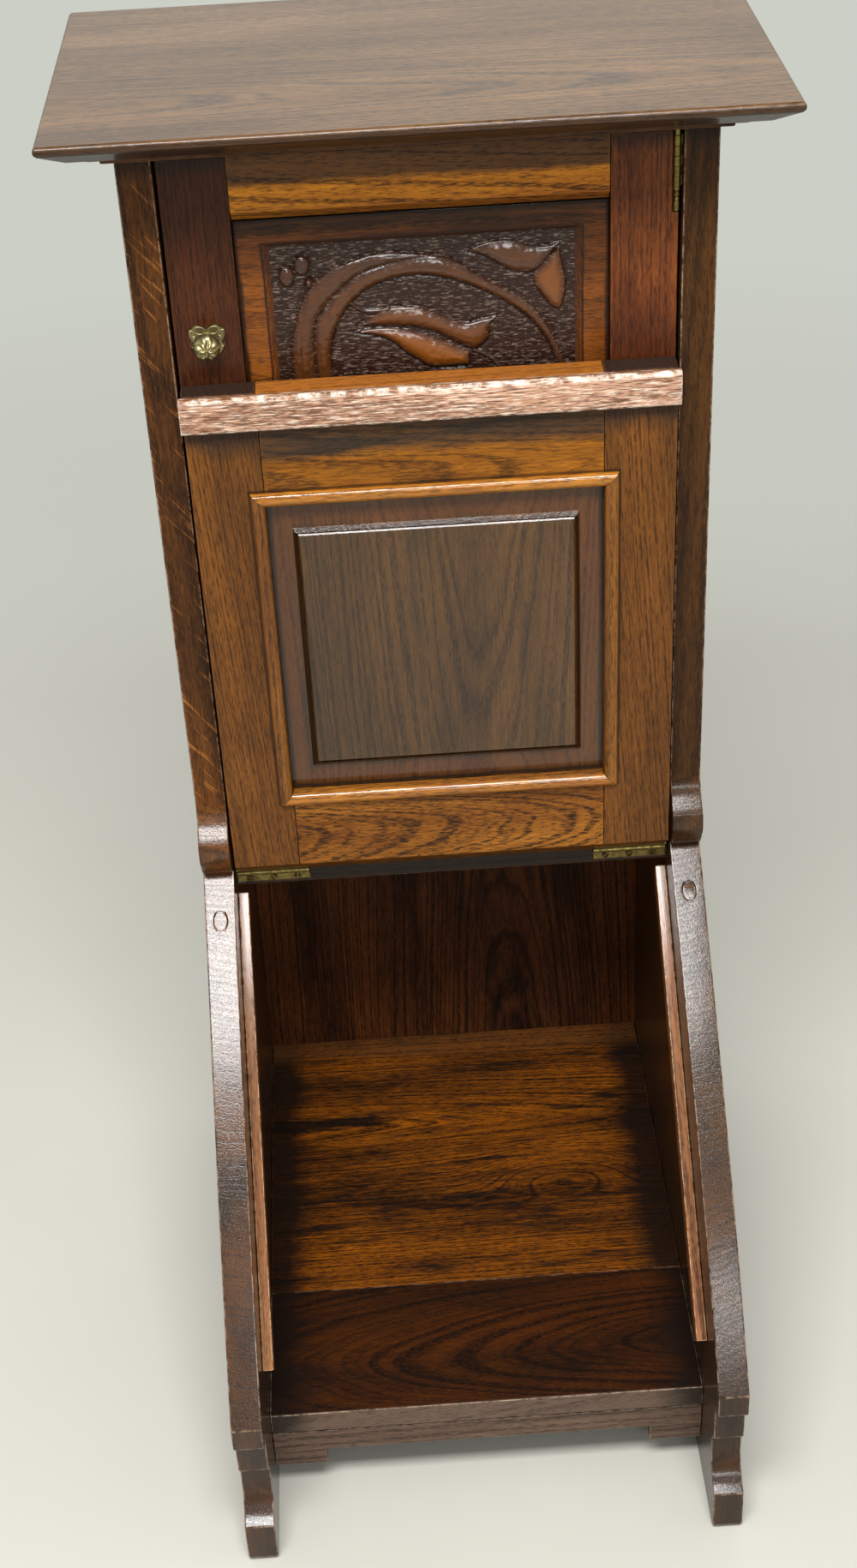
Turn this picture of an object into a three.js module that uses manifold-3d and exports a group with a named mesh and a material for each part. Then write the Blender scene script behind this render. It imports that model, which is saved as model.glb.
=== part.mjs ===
// A tall oak coal cupboard. The lower half is a coal compartment with a slanted front, closed by a
// framed flap that swings up; the upper half is a small cupboard with a carved door.
// Millimetres. X runs to the right as seen from the front, Y to the back, Z up.
// While it is built, y = 0 is the front edge of the upper side boards; at the end the whole is
// moved along Y so that its origin is the middle of its footprint, on the floor.
import * as THREE from 'three';
import Module from 'manifold-3d';
import { mergeVertices } from 'three/addons/utils/BufferGeometryUtils.js';

const wasm = await Module();
wasm.setup();

// ---- driving dimensions ----

const fitGap = 0.3;               // between pieces that touch
const weld = 1;                   // overlap of shapes that are joined, and reach of a cut past a face
const arcSteps = 8;               // segments in each curve of an outline

// carcase
const bodyWidth = 350;            // over the outsides of the side boards
const bodyDepth = 185;            // front edge to back edge of the upper side boards
const boardThickness = 21;        // side boards
const sideHeight = 924.2;         // top end of the side boards

// front outline of a side board, from the top down
const creaseHeight = 457;         // where the upright edge ends and the scroll begins
const scrollReach = 19;           // how far the scroll stands forward
const scrollNoseDrop = 30;        // from the crease down to the scroll's nose
const scrollFootDrop = 25;        // from the nose down to the scroll's underside
const scrollFootReach = 4;
const slopeBow = 8;               // how far the slanted edge bows out
const noseReach = 283;            // lower end of the slanted edge
const noseHeight = 140;
const noseDrop = 22;              // height of the upright face under the slanted edge
const noseRounding = 3;
const noseStep = 12;              // how far the next face stands back
const stepHeight = 84;            // lower edge of that face
const undercut = 8;               // depth of the notch under it
const notchHeight = 75;
const coveHeight = 60;            // where the foot starts to sweep forward
const toeHeight = 36.5;
const toeSetback = 1;             // toe behind the nose
const toeRounding = 3;

// top board and cornice
const topThickness = 14;
const topEdgeThickness = 6;       // thickness left at the edge by the bevel underneath
const topBevel = 15;              // width of that bevel
const topRounding = 1.6;          // rounding of the edges
const topSideOverhang = 36.8;     // past the side boards
const topFrontOverhang = 61;
const topBackOverhang = 11;
const corniceHeight = 15;
const corniceReach = 21.5;
const corniceFillet = 7;          // reach of its lowest step
const headRailDepth = 20;
const headRailHeight = 16;

// back, floors and front board
const backThickness = 10.5;
const backRebate = 10;            // width of the rebate in the side boards that takes the back
const backBelowFloor = 4.8;       // how far the back reaches below the coal floor's underside
const shelfThickness = 16;
const frontBoardTopHeight = 685;
const frontBoardHingeMargin = 10.8; // from its lower edge to the flap's pin
const frontBoardThickness = 16;
const frontBoardFace = 5.8;       // y of its face
const coalFloorHeight = 83;
const coalFloorThickness = 18.2;
const coalFloorSetback = 58.7;    // front edge behind the nose of the side boards
const coalFloorFrontDepth = 116.3; // depth of the front one of its two boards
const bearerWidth = 37;
const bearerBottomHeight = 25;
const bearerSetback = 1.5;        // behind the face of the front rail
const frontRailThickness = 20;
const frontRailDepth = 32;
const frontRailSetback = 2.3;     // behind the front edge of the floor
const frontRailShadowGap = 3.5;   // between the floor and the rail
const packingSetback = 6;         // the strip that fills the shadow gap stands this far back

// stop strips on the insides of the side boards
const stripWidth = 7.4;
const stripDepth = 14;
const stripEndMargin = 6.4;       // between the strips' lower ends and the lip bar of the closed flap
const stripTopShare = 0.55;       // how much of the upper corner is taken off to clear the front board
const plugRadius = 4.5;
const plugLength = 14;
const plugFromScroll = 24.6;      // how far forward of the scroll's foot the plugs sit

// flap, measured with the flap swung up
const flapPinBelowScroll = 10.2;
const flapSideClearance = 2.4;    // to the insides of the side boards
const flapThickness = 17.2;
const flapBackClearance = 2.4;    // from the pin to the face that shows when the flap is closed
const flapEndSetback = 15.1;      // closed, its free end stays this far behind the nose
const flapStileWidth = 45.1;
const flapHingeRailEdge = 79.7;   // from the pin to the panel opening
const flapEndRailWidth = 76;
const beadWidth = 8.8;
const beadHeight = 5;
const beadMitreGap = 0.2;
const fieldMargin = 17.4;         // from the panel opening to the raised field, at the sides
const fieldMarginEnds = 21.5;     // and at the ends
const fieldSetback = 1.5;         // face of the field behind the face of the frame
const fieldStep = 2.2;            // from the field down to the sloping margin
const marginRise = 0.5;           // the margin's foot above the tongue
const lipBarWidth = 23;
const lipBarThickness = 6.5;
const lipBarBevel = [1.8, 2.4];   // bevel along its free edge: thickness and width taken off
const lipBarArris = 1.2;          // and along its other edge
const lipBarSideClearance = 0.8;

// door
const doorFace = 5.4;             // y of its face
const doorBottomClearance = 2;    // above the front board
const doorTopClearance = 3.2;     // below the head rail
const doorSideClearance = 1.7;
const doorThickness = 19;
const doorStileWidth = 40.3;
const doorRailWidth = 39.5;
const doorChamfer = 6;            // chamfer on the top rail's lower edge
const doorChamferDepth = 4.8;
const doorPanelSetback = 4;       // face of the panel behind the face of the frame
const carvedMargin = 16.6;        // from the panel opening to the sunk field that holds the carving
const carvedMarginEnds = 15.5;    // and above and below it
const carvedSink = 3.2;
const carvedBevel = 2.6;
const carvedLift = 2.9;           // height of the carving above its ground
const carvedRounding = 1.3;       // rounding along the edges of the carving

// framing shared by the door and the flap
const tongueLength = 9;           // of the panels, in the grooves of the frames
const tongueThickness = 5;
const tenonLength = 26;
const tenonThickness = 6;
const tenonShoulder = 6;          // from a tenon's edge to the edge of its rail
const panelClearance = 0.5;       // round a panel inside its frame

// flap hinges
const flapHingeLength = 50.8;
const flapHingeSideClearance = 2; // from the outer ends of the hinges to the side boards
const flapKnuckleRadius = 1.9;
const flapHingePinRadius = 0.8;
const flapLeafWidth = 7.8;
const flapLeafReveal = 0.6;       // from the pin's axis to the face of each leaf

// door hinges
const doorKnuckleSideClearance = 0.9;
const doorHingeLength = 30;
const doorHingeInset = 3;         // from each end of the door to the end of its hinge
const doorKnuckleRadius = 2.2;
const doorHingePinRadius = 1;
const doorLeafWidth = 15;
const finialLength = 15;
const topCapLength = 5;
const leafThickness = 1;
const boreClearance = 0.3;        // between a hinge's pin and its knuckles
const knuckleCount = 5;
const knuckleClearance = 0.4;     // round the knuckles

// knob
const knobFromDoorEdge = 19.8;
const knobAboveFlap = 28.5;       // axis above the free end of the flap
const knobRadius = 8.4;
const knobReach = 19.5;           // from the door's face to the front of the knob
const plateHalfWidth = 10.8;
const plateTop = 9.5;             // above the knob's axis
const plateBottom = 13;           // below it
const lobeDip = 2.2;              // depth of the dip between its lobes
const plateThickness = 1.8;
const spigotRadius = 2;

// ---- helpers ----

const innerHalfWidth = bodyWidth / 2 - boardThickness;
const fitHalfWidth = innerHalfWidth - fitGap;

function makeSolid(geometry) {
  const bare = geometry.clone();
  bare.deleteAttribute('normal');
  bare.deleteAttribute('uv');
  const merged = mergeVertices(bare, 1e-4);
  return new wasm.Manifold(new wasm.Mesh({
    numProp: 3,
    vertProperties: new Float32Array(merged.attributes.position.array),
    triVerts: new Uint32Array(merged.index.array),
  }));
}

function toGeometry(manifold) {
  const mesh = manifold.getMesh();
  const geometry = new THREE.BufferGeometry();
  geometry.setAttribute('position', new THREE.BufferAttribute(new Float32Array(mesh.vertProperties), 3));
  geometry.setIndex(new THREE.BufferAttribute(new Uint32Array(mesh.triVerts), 1));
  geometry.computeVertexNormals();
  return geometry;
}

function join(...geometries) {
  const solids = geometries.map(makeSolid);
  return toGeometry(solids.reduce((whole, next) => whole.add(next)));
}

function cut(geometry, ...tools) {
  const start = makeSolid(geometry);
  return toGeometry(tools.map(makeSolid).reduce((left, tool) => left.subtract(tool), start));
}

function common(first, second) {
  return toGeometry(makeSolid(first).intersect(makeSolid(second)));
}

function block([x0, x1], [y0, y1], [z0, z1]) {
  const box = new THREE.BoxGeometry(x1 - x0, y1 - y0, z1 - z0);
  return box.translate((x0 + x1) / 2, (y0 + y1) / 2, (z0 + z1) / 2);
}

// a block whose front face (lowest y) is another rectangle than its back face
function taperedBlock([x0, x1], [z0, z1], yBack, [fx0, fx1], [fz0, fz1], yFront) {
  const box = new THREE.BoxGeometry(1, 1, 1);
  const place = box.attributes.position;
  for (let i = 0; i < place.count; i += 1) {
    const front = place.getY(i) < 0;
    const right = place.getX(i) > 0;
    const upper = place.getZ(i) > 0;
    const [left, rightEnd, low, high] = front ? [fx0, fx1, fz0, fz1] : [x0, x1, z0, z1];
    place.setXYZ(i, right ? rightEnd : left, front ? yFront : yBack, upper ? high : low);
  }
  return box;
}

// an outline in (u, v), extruded along u x v and placed with its own directions
function extrudeAlong(shape, length, u, v, origin) {
  const geometry = new THREE.ExtrudeGeometry(shape, {
    depth: length, bevelEnabled: false, steps: 1, curveSegments: arcSteps,
  });
  const w = new THREE.Vector3().crossVectors(u, v);
  const frame = new THREE.Matrix4().makeBasis(u, v, w).setPosition(origin);
  return geometry.applyMatrix4(frame);
}

const right = new THREE.Vector3(1, 0, 0);
const back = new THREE.Vector3(0, 1, 0);
const up = new THREE.Vector3(0, 0, 1);
const left = right.clone().negate();
const front = back.clone().negate();
const down = up.clone().negate();

// an outline in (y, z), from x0 to x1
function extrudeX(shape, x0, x1) {
  return extrudeAlong(shape, x1 - x0, back, up, new THREE.Vector3(x0, 0, 0));
}

// an outline in (x, z), from y0 back to y1
function extrudeY(shape, y0, y1) {
  return extrudeAlong(shape, y1 - y0, right, up, new THREE.Vector3(0, y1, 0));
}

function polygon(points) {
  return new THREE.Shape(points.map(([u, v]) => new THREE.Vector2(u, v)));
}

function rod(radius, length, sides, axis, middle) {
  const geometry = new THREE.CylinderGeometry(radius, radius, length, sides);
  const turn = new THREE.Quaternion().setFromUnitVectors(back, axis);
  return geometry.applyQuaternion(turn).translate(middle.x, middle.y, middle.z);
}

function mirrored(geometry) {
  const copy = geometry.clone();
  const place = copy.attributes.position;
  for (let i = 0; i < place.count; i += 1) place.setX(i, -place.getX(i));
  const index = copy.index
    ? Array.from(copy.index.array)
    : Array.from({ length: place.count }, (_, i) => i);
  for (let i = 0; i < index.length; i += 3) [index[i + 1], index[i + 2]] = [index[i + 2], index[i + 1]];
  copy.setIndex(index);
  copy.computeVertexNormals();
  return copy;
}

const darkOak = { color: 0x4a3020, roughness: 0.45, metalness: 0 };
const warmOak = { color: 0x7d4c22, roughness: 0.42, metalness: 0 };
const redOak = { color: 0x4e2417, roughness: 0.4, metalness: 0 };
const topOak = { color: 0x6f4c35, roughness: 0.38, metalness: 0 };
const panelOak = { color: 0x5a4030, roughness: 0.45, metalness: 0 };
const floorOak = { color: 0x6a3a14, roughness: 0.35, metalness: 0 };
const wornOak = { color: 0xa58470, roughness: 0.7, metalness: 0 };
const brass = { color: 0x8f7d4a, roughness: 0.35, metalness: 1 };

const cupboard = new THREE.Group();

function add(group, name, geometry, finish) {
  const mesh = new THREE.Mesh(geometry, new THREE.MeshStandardMaterial(finish));
  mesh.name = name;
  group.add(mesh);
}

// ---- side boards ----

const scrollHeight = creaseHeight - scrollNoseDrop;
const scrollFootHeight = scrollHeight - scrollFootDrop;
const slopeRise = (scrollFootHeight - noseHeight) / (noseReach - scrollFootReach);
const slopeAngle = Math.atan(slopeRise);                 // below the horizontal
const toeReach = noseReach - toeSetback;

function sideOutline() {
  const outline = new THREE.Shape();
  const stepReach = noseReach - noseStep;
  const notchReach = stepReach - undercut;
  const slopeAlong = new THREE.Vector2(scrollFootReach - noseReach, noseHeight - scrollFootHeight);
  const slopeOut = new THREE.Vector2(slopeAlong.y, -slopeAlong.x).normalize();
  const bowPoint = (share, lift) => new THREE.Vector2(-scrollFootReach, scrollFootHeight)
    .addScaledVector(slopeAlong, share).addScaledVector(slopeOut, lift);
  const upperBow = bowPoint(1 / 3, slopeBow);
  const lowerBow = bowPoint(2 / 3, 2 * slopeBow);
  outline.moveTo(bodyDepth, 0);
  outline.lineTo(bodyDepth, sideHeight);
  outline.lineTo(0, sideHeight);
  outline.lineTo(0, creaseHeight);
  // scroll: a cove that runs out into a round nose
  const coveEnd = scrollHeight + scrollReach * 0.35;
  outline.bezierCurveTo(-1, creaseHeight - 10, -scrollReach * 0.5, coveEnd + 8,
    -scrollReach * 0.88, coveEnd);
  outline.bezierCurveTo(-scrollReach, scrollHeight + 3, -scrollReach * 1.04, scrollHeight - 4,
    -scrollReach * 0.92, scrollHeight - 9);
  outline.bezierCurveTo(-scrollReach * 0.8, scrollFootHeight + 7, -scrollReach * 0.5, scrollFootHeight,
    -scrollFootReach, scrollFootHeight);
  // slanted edge
  outline.bezierCurveTo(upperBow.x, upperBow.y, lowerBow.x, lowerBow.y, -noseReach, noseHeight);
  // moulded foot
  outline.lineTo(-noseReach, noseHeight - noseDrop + noseRounding);
  outline.lineTo(-noseReach + noseRounding, noseHeight - noseDrop);
  outline.lineTo(-stepReach, noseHeight - noseDrop - noseRounding);
  outline.lineTo(-stepReach, stepHeight);
  outline.lineTo(-notchReach, notchHeight);
  outline.lineTo(-notchReach, coveHeight);
  outline.bezierCurveTo(-notchReach, coveHeight - 10, -toeReach + 12, toeHeight + 5, -toeReach, toeHeight);
  outline.lineTo(-toeReach, toeRounding);
  outline.lineTo(-toeReach + toeRounding, 0);
  outline.closePath();
  return outline;
}

const backFace = bodyDepth - backThickness;
const coalFloorUnderside = coalFloorHeight - coalFloorThickness;
const backBottomHeight = coalFloorUnderside - backBelowFloor;
const plugMiddle = new THREE.Vector3(innerHalfWidth + boardThickness / 2,
  -scrollFootReach - plugFromScroll, scrollFootHeight - plugFromScroll * slopeRise);

function sideBoard() {
  const board = extrudeX(sideOutline(), innerHalfWidth, bodyWidth / 2);
  const rebate = block([innerHalfWidth - weld, innerHalfWidth + backRebate],
    [backFace - fitGap, bodyDepth + weld], [backBottomHeight - fitGap, sideHeight + weld]);
  const hole = rod(plugRadius + fitGap, 2 * plugLength, 2 * arcSteps, back, plugMiddle);
  return cut(board, rebate, hole);
}

// a dowel end, flush with the slanted edge
function plug() {
  const dowel = rod(plugRadius, 2 * plugLength - 2 * fitGap, 2 * arcSteps, back, plugMiddle);
  return common(dowel, extrudeX(sideOutline(), innerHalfWidth, bodyWidth / 2));
}

add(cupboard, 'side_board_right', sideBoard(), darkOak);
add(cupboard, 'side_board_left', mirrored(sideBoard()), darkOak);
add(cupboard, 'dowel_plug_right', plug(), darkOak);
add(cupboard, 'dowel_plug_left', mirrored(plug()), darkOak);

// ---- top board, cornice and head rail ----

const topUnderside = sideHeight + fitGap;
const topSurface = topUnderside + topThickness;

// section of the top board between two edges; a bevelled edge is thin and rounded
function slabSection(low, high, bevelLow, bevelHigh) {
  const edgeBottom = topSurface - topEdgeThickness;
  const edge = (at, inward, bevelled) => (bevelled
    ? [[at + inward * topBevel, topUnderside], [at + inward * topRounding, edgeBottom],
      [at, edgeBottom + topRounding], [at, topSurface - topRounding],
      [at + inward * topRounding, topSurface]]
    : [[at, topUnderside], [at, topSurface]]);
  return polygon([...edge(high, -1, bevelHigh), ...edge(low, 1, bevelLow).reverse()]);
}

const topHalfWidth = bodyWidth / 2 + topSideOverhang;
const topBack = bodyDepth + topBackOverhang;
add(cupboard, 'top_board', common(
  extrudeX(slabSection(-topFrontOverhang, topBack, true, false), -topHalfWidth - weld, topHalfWidth + weld),
  extrudeY(slabSection(-topHalfWidth, topHalfWidth, true, true), -topFrontOverhang - weld, topBack + weld),
), topOak);

// section of the cornice: (out from the body, up)
function corniceSection() {
  const low = topUnderside - fitGap - corniceHeight;
  const high = topUnderside - fitGap;
  const section = new THREE.Shape();
  section.moveTo(fitGap, low);
  section.lineTo(corniceFillet, low);
  section.lineTo(corniceFillet, low + 3.5);
  section.lineTo(corniceFillet + 7, low + 4);
  section.bezierCurveTo(corniceFillet + 7, low + 8, corniceReach - 3, low + 6,
    corniceReach - 1.5, low + 10);
  section.lineTo(corniceReach, low + 12);
  section.lineTo(corniceReach, high);
  section.lineTo(fitGap, high);
  section.closePath();
  return section;
}

// a moulding of the given section, its ends slanted outward by their mitres (0 is square)
function mitredStrip(section, length, mitreStart, mitreEnd, out, lift, middle) {
  const strip = new THREE.ExtrudeGeometry(section, {
    depth: length, bevelEnabled: false, steps: 1, curveSegments: arcSteps,
  });
  const place = strip.attributes.position;
  for (let i = 0; i < place.count; i += 1) {
    const atEnd = place.getZ(i) > length / 2;
    const slant = atEnd ? mitreEnd : -mitreStart;
    place.setZ(i, place.getZ(i) - length / 2 + slant * place.getX(i));
  }
  const along = new THREE.Vector3().crossVectors(out, lift);
  return strip.applyMatrix4(new THREE.Matrix4().makeBasis(out, lift, along).setPosition(middle));
}

add(cupboard, 'cornice_front',
  mitredStrip(corniceSection(), bodyWidth - 2 * fitGap, 1, 1, front, up, new THREE.Vector3()), darkOak);
add(cupboard, 'cornice_left', mitredStrip(corniceSection(), bodyDepth, 1, 0, left, up,
  new THREE.Vector3(-bodyWidth / 2, bodyDepth / 2, 0)), darkOak);
add(cupboard, 'cornice_right', mitredStrip(corniceSection(), bodyDepth, 0, 1, right, up,
  new THREE.Vector3(bodyWidth / 2, bodyDepth / 2, 0)), darkOak);

add(cupboard, 'head_rail', block([-fitHalfWidth, fitHalfWidth], [fitGap, headRailDepth],
  [sideHeight - headRailHeight, sideHeight]), darkOak);

// ---- back, shelf and front board ----

const backHalfWidth = innerHalfWidth + backRebate - fitGap;
const backJoint = frontBoardTopHeight - shelfThickness / 2;
add(cupboard, 'back_panel_lower', block([-backHalfWidth, backHalfWidth], [backFace, bodyDepth],
  [backBottomHeight, backJoint]), darkOak);
add(cupboard, 'back_panel_upper', block([-backHalfWidth, backHalfWidth], [backFace, bodyDepth],
  [backJoint + fitGap, sideHeight]), darkOak);
add(cupboard, 'cupboard_floor', block([-fitHalfWidth, fitHalfWidth],
  [frontBoardFace + frontBoardThickness + fitGap, backFace - fitGap],
  [frontBoardTopHeight - shelfThickness, frontBoardTopHeight]), darkOak);

// ---- coal compartment ----

const coalFloorFront = coalFloorSetback - noseReach;
const coalFloorJoint = coalFloorFront + coalFloorFrontDepth;
add(cupboard, 'coal_floor_front', block([-fitHalfWidth, fitHalfWidth],
  [coalFloorFront, coalFloorJoint - fitGap], [coalFloorUnderside, coalFloorHeight]), floorOak);
add(cupboard, 'coal_floor_back', block([-fitHalfWidth, fitHalfWidth],
  [coalFloorJoint, backFace - fitGap], [coalFloorUnderside, coalFloorHeight]), floorOak);

const railFace = coalFloorFront + frontRailSetback;
const railTop = coalFloorUnderside - frontRailShadowGap;
const railBottom = railTop - frontRailThickness;
add(cupboard, 'front_rail', join(
  block([-fitHalfWidth, fitHalfWidth], [railFace, railFace + frontRailDepth], [railBottom, railTop]),
  block([-fitHalfWidth, fitHalfWidth], [railFace + packingSetback, railFace + frontRailDepth],
    [railTop - weld, coalFloorUnderside - fitGap]),
), darkOak);

// a bearer is notched for the front rail
function bearer() {
  const notchBack = railFace + frontRailDepth + fitGap;
  const bearerFront = railFace + bearerSetback;
  const bearerTop = coalFloorUnderside - fitGap;
  const outline = polygon([
    [backFace - fitGap, bearerBottomHeight], [backFace - fitGap, bearerTop],
    [notchBack, bearerTop], [notchBack, railBottom - fitGap],
    [bearerFront, railBottom - fitGap], [bearerFront, bearerBottomHeight],
  ]);
  return extrudeX(outline, fitHalfWidth - bearerWidth, fitHalfWidth);
}
add(cupboard, 'bearer_right', bearer(), darkOak);
add(cupboard, 'bearer_left', mirrored(bearer()), darkOak);

// ---- flap geometry, in the (y, z) plane about the pin ----

// It turns by 90 degrees and the slope from swung up to closed.
const slopeDown = new THREE.Vector2(-Math.cos(slopeAngle), -Math.sin(slopeAngle));
const slopeNormal = new THREE.Vector2(slopeDown.y, -slopeDown.x);
const flapPinY = frontBoardFace - flapLeafReveal;
const flapPinHeight = scrollFootHeight - flapPinBelowScroll;
const flapPin = new THREE.Vector2(flapPinY, flapPinHeight);
const flapInnerDepth = flapThickness + flapBackClearance;
const flapLength = (noseReach - flapEndSetback + flapPinY) / Math.cos(slopeAngle);
// a point so far down the slope from the pin and so far below the pin's plane
const onSlope = (along, below) => flapPin.clone()
  .addScaledVector(slopeDown, along).addScaledVector(slopeNormal, -below);

function stopStrip() {
  const stripTop = flapInnerDepth + fitGap;
  const stripLength = flapLength - lipBarWidth - stripEndMargin;
  const start = stripTop * slopeRise * stripTopShare;
  const corners = [onSlope(start, stripTop), onSlope(stripLength, stripTop),
    onSlope(stripLength, stripTop + stripDepth), onSlope(start, stripTop + stripDepth)];
  return extrudeX(polygon(corners.map((p) => [p.x, p.y])), fitHalfWidth - stripWidth, fitHalfWidth);
}
add(cupboard, 'stop_strip_right', stopStrip(), warmOak);
add(cupboard, 'stop_strip_left', mirrored(stopStrip()), warmOak);

// ---- butt hinges ----

// One leaf of a butt hinge about the Z axis, the middle of its length at z = 0. The leaf runs out
// along +X; its plate lies between the offsets along +Y. Odd knuckles belong to one leaf, even
// ones to the other.
function hingeLeaf({ length, radius, pinRadius, width, offset, odd }) {
  const pitch = length / knuckleCount;
  const cutBack = radius + knuckleClearance;
  const [low, high] = offset;
  const plate = block([cutBack, width], [low, high], [-length / 2, length / 2]);
  const ring = new THREE.Shape();
  ring.absarc(0, 0, radius, 0, 2 * Math.PI, false);
  const bore = new THREE.Path();
  bore.absarc(0, 0, pinRadius + boreClearance, 0, 2 * Math.PI, true);
  ring.holes.push(bore);
  let leaf = makeSolid(plate);
  for (let i = 0; i < knuckleCount; i += 1) {
    if ((i % 2 === 0) === odd) {
      const from = -length / 2 + i * pitch + (i === 0 ? 0 : fitGap / 2);
      const to = -length / 2 + (i + 1) * pitch - (i === knuckleCount - 1 ? 0 : fitGap / 2);
      const barrel = new THREE.ExtrudeGeometry(ring, {
        depth: to - from, bevelEnabled: false, steps: 1, curveSegments: arcSteps,
      }).translate(0, 0, from);
      const webStart = Math.sqrt(Math.max(0, radius ** 2 - low ** 2)) / 2;   // inside the barrel's wall
      const web = block([webStart, cutBack + weld], [low, high], [from, to]);
      const bored = makeSolid(web).subtract(makeSolid(rod(pinRadius + boreClearance, length, 4 * arcSteps,
        up, new THREE.Vector3())));
      leaf = leaf.add(makeSolid(barrel)).add(bored);
    }
  }
  return toGeometry(leaf);
}

// puts hinge geometry where its leaf runs along u and its plate's offset is along v
function placeHinge(geometry, u, v, origin) {
  const w = new THREE.Vector3().crossVectors(u, v);
  return geometry.clone().applyMatrix4(new THREE.Matrix4().makeBasis(u, v, w).setPosition(origin));
}

// the flap's hinge end is bevelled by the slope, so that it stands upright when closed
const bevelOut = new THREE.Vector3(0, -Math.cos(slopeAngle), Math.sin(slopeAngle));
const bevelIn = new THREE.Vector3(0, Math.sin(slopeAngle), Math.cos(slopeAngle));
const flapLeafOffset = [flapLeafReveal, flapLeafReveal + leafThickness];
const flapHingeMiddle = innerHalfWidth - flapHingeSideClearance - flapHingeLength / 2;
const flapHingeSize = {
  length: flapHingeLength, radius: flapKnuckleRadius, pinRadius: flapHingePinRadius,
  width: flapLeafWidth, offset: flapLeafOffset,
};
const flapAxisPoint = (x) => new THREE.Vector3(x, flapPinY, flapPinHeight);

// the recess in the wood for a leaf and its knuckles
function leafRecess(length, radius, width, [low, high]) {
  const half = length / 2 + fitGap;
  return [
    block([-fitGap, width + fitGap], [low - 2 * leafThickness, high + fitGap], [-half, half]),
    rod(radius + knuckleClearance, 2 * half, 4 * arcSteps, up, new THREE.Vector3()),
  ];
}

function flapHingeCuts(u, v) {
  const cuts = leafRecess(flapHingeLength, flapKnuckleRadius, flapLeafWidth, flapLeafOffset);
  return [-1, 1].flatMap((side) => cuts.map((tool) => placeHinge(tool, u, v,
    flapAxisPoint(side * flapHingeMiddle))));
}

add(cupboard, 'front_board', cut(
  block([-fitHalfWidth, fitHalfWidth], [frontBoardFace, frontBoardFace + frontBoardThickness],
    [flapPinHeight - frontBoardHingeMargin, frontBoardTopHeight]),
  ...flapHingeCuts(down, back),
), darkOak);

for (const [side, word] of [[-1, 'left'], [1, 'right']]) {
  const middle = flapAxisPoint(side * flapHingeMiddle);
  add(cupboard, `flap_hinge_${word}_fixed_leaf`,
    placeHinge(hingeLeaf({ ...flapHingeSize, odd: true }), down, back, middle), brass);
  add(cupboard, `flap_hinge_${word}_moving_leaf`,
    placeHinge(hingeLeaf({ ...flapHingeSize, odd: false }), bevelOut, bevelIn, middle), brass);
  add(cupboard, `flap_hinge_${word}_pin`,
    rod(flapHingePinRadius, flapHingeLength, 2 * arcSteps, right, middle), brass);
}

// ---- framed panels ----

// A frame of two stiles and two rails, grooved for a panel. Front face at y0.
function framing({ halfWidth, bottom, top, stile, bottomRail, topRail, y0, thickness }) {
  const opening = halfWidth - stile;
  const [openLow, openHigh] = [bottom + bottomRail, top - topRail];
  const middle = y0 + thickness / 2;
  const depth = [y0, y0 + thickness];
  const groove = [middle - tongueThickness / 2 - fitGap, middle + tongueThickness / 2 + fitGap];
  const tenonDepth = [middle - tenonThickness / 2, middle + tenonThickness / 2];
  const mortiseDepth = [tenonDepth[0] - fitGap, tenonDepth[1] + fitGap];
  const grooveDepth = tongueLength + weld;
  const tenonSpan = (low, high) => [low + tenonShoulder, high - tenonShoulder];
  const spans = [tenonSpan(bottom, openLow), tenonSpan(openHigh, top)];
  const mortises = spans.map(([low, high]) => block([opening - weld, opening + tenonLength + fitGap],
    mortiseDepth, [low - fitGap, high + fitGap]));
  const stilePiece = cut(block([opening, halfWidth], depth, [bottom, top]),
    block([opening - weld, opening + grooveDepth], groove,
      [openLow - tenonShoulder, openHigh + tenonShoulder]),
    ...mortises);
  const rail = ([low, high], [tenonLow, tenonHigh], grooveEdge, inward) => cut(
    join(block([-opening + fitGap, opening - fitGap], depth, [low, high]),
      block([-opening - tenonLength, opening + tenonLength], tenonDepth, [tenonLow, tenonHigh])),
    block([-halfWidth, halfWidth], groove,
      [grooveEdge - (inward < 0 ? weld : grooveDepth), grooveEdge + (inward < 0 ? grooveDepth : weld)]),
  );
  return {
    opening, openLow, openHigh, middle, groove, stilePiece,
    bottomRailPiece: rail([bottom, openLow], spans[0], openLow, 1),
    topRailPiece: rail([openHigh, top], spans[1], openHigh, -1),
  };
}

// a panel's tongue, which sits in the grooves all round
function tongue({ opening, openLow, openHigh, middle }) {
  return block([-opening - tongueLength, opening + tongueLength],
    [middle - tongueThickness / 2, middle + tongueThickness / 2],
    [openLow - tongueLength, openHigh + tongueLength]);
}

// ---- flap ----

const flapFace = flapPinY - flapInnerDepth;
const flapEnd = flapPinHeight + flapLength;
const flapFrame = framing({
  halfWidth: innerHalfWidth - flapSideClearance, bottom: flapPinHeight, top: flapEnd, stile: flapStileWidth,
  bottomRail: flapHingeRailEdge, topRail: flapEndRailWidth, y0: flapFace, thickness: flapThickness,
});

// everything below the bevelled hinge end
function belowBevel() {
  const far = 3 * flapInnerDepth;
  const from = new THREE.Vector3(0, flapPinY, flapPinHeight).addScaledVector(bevelIn, flapLeafReveal);
  const a = from.clone().addScaledVector(bevelOut, far);
  const b = from.clone().addScaledVector(bevelOut, -far);
  const c = b.clone().addScaledVector(bevelIn, -far);
  const d = a.clone().addScaledVector(bevelIn, -far);
  return extrudeX(polygon([a, b, c, d].map((p) => [p.y, p.z])), -bodyWidth, bodyWidth);
}

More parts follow.
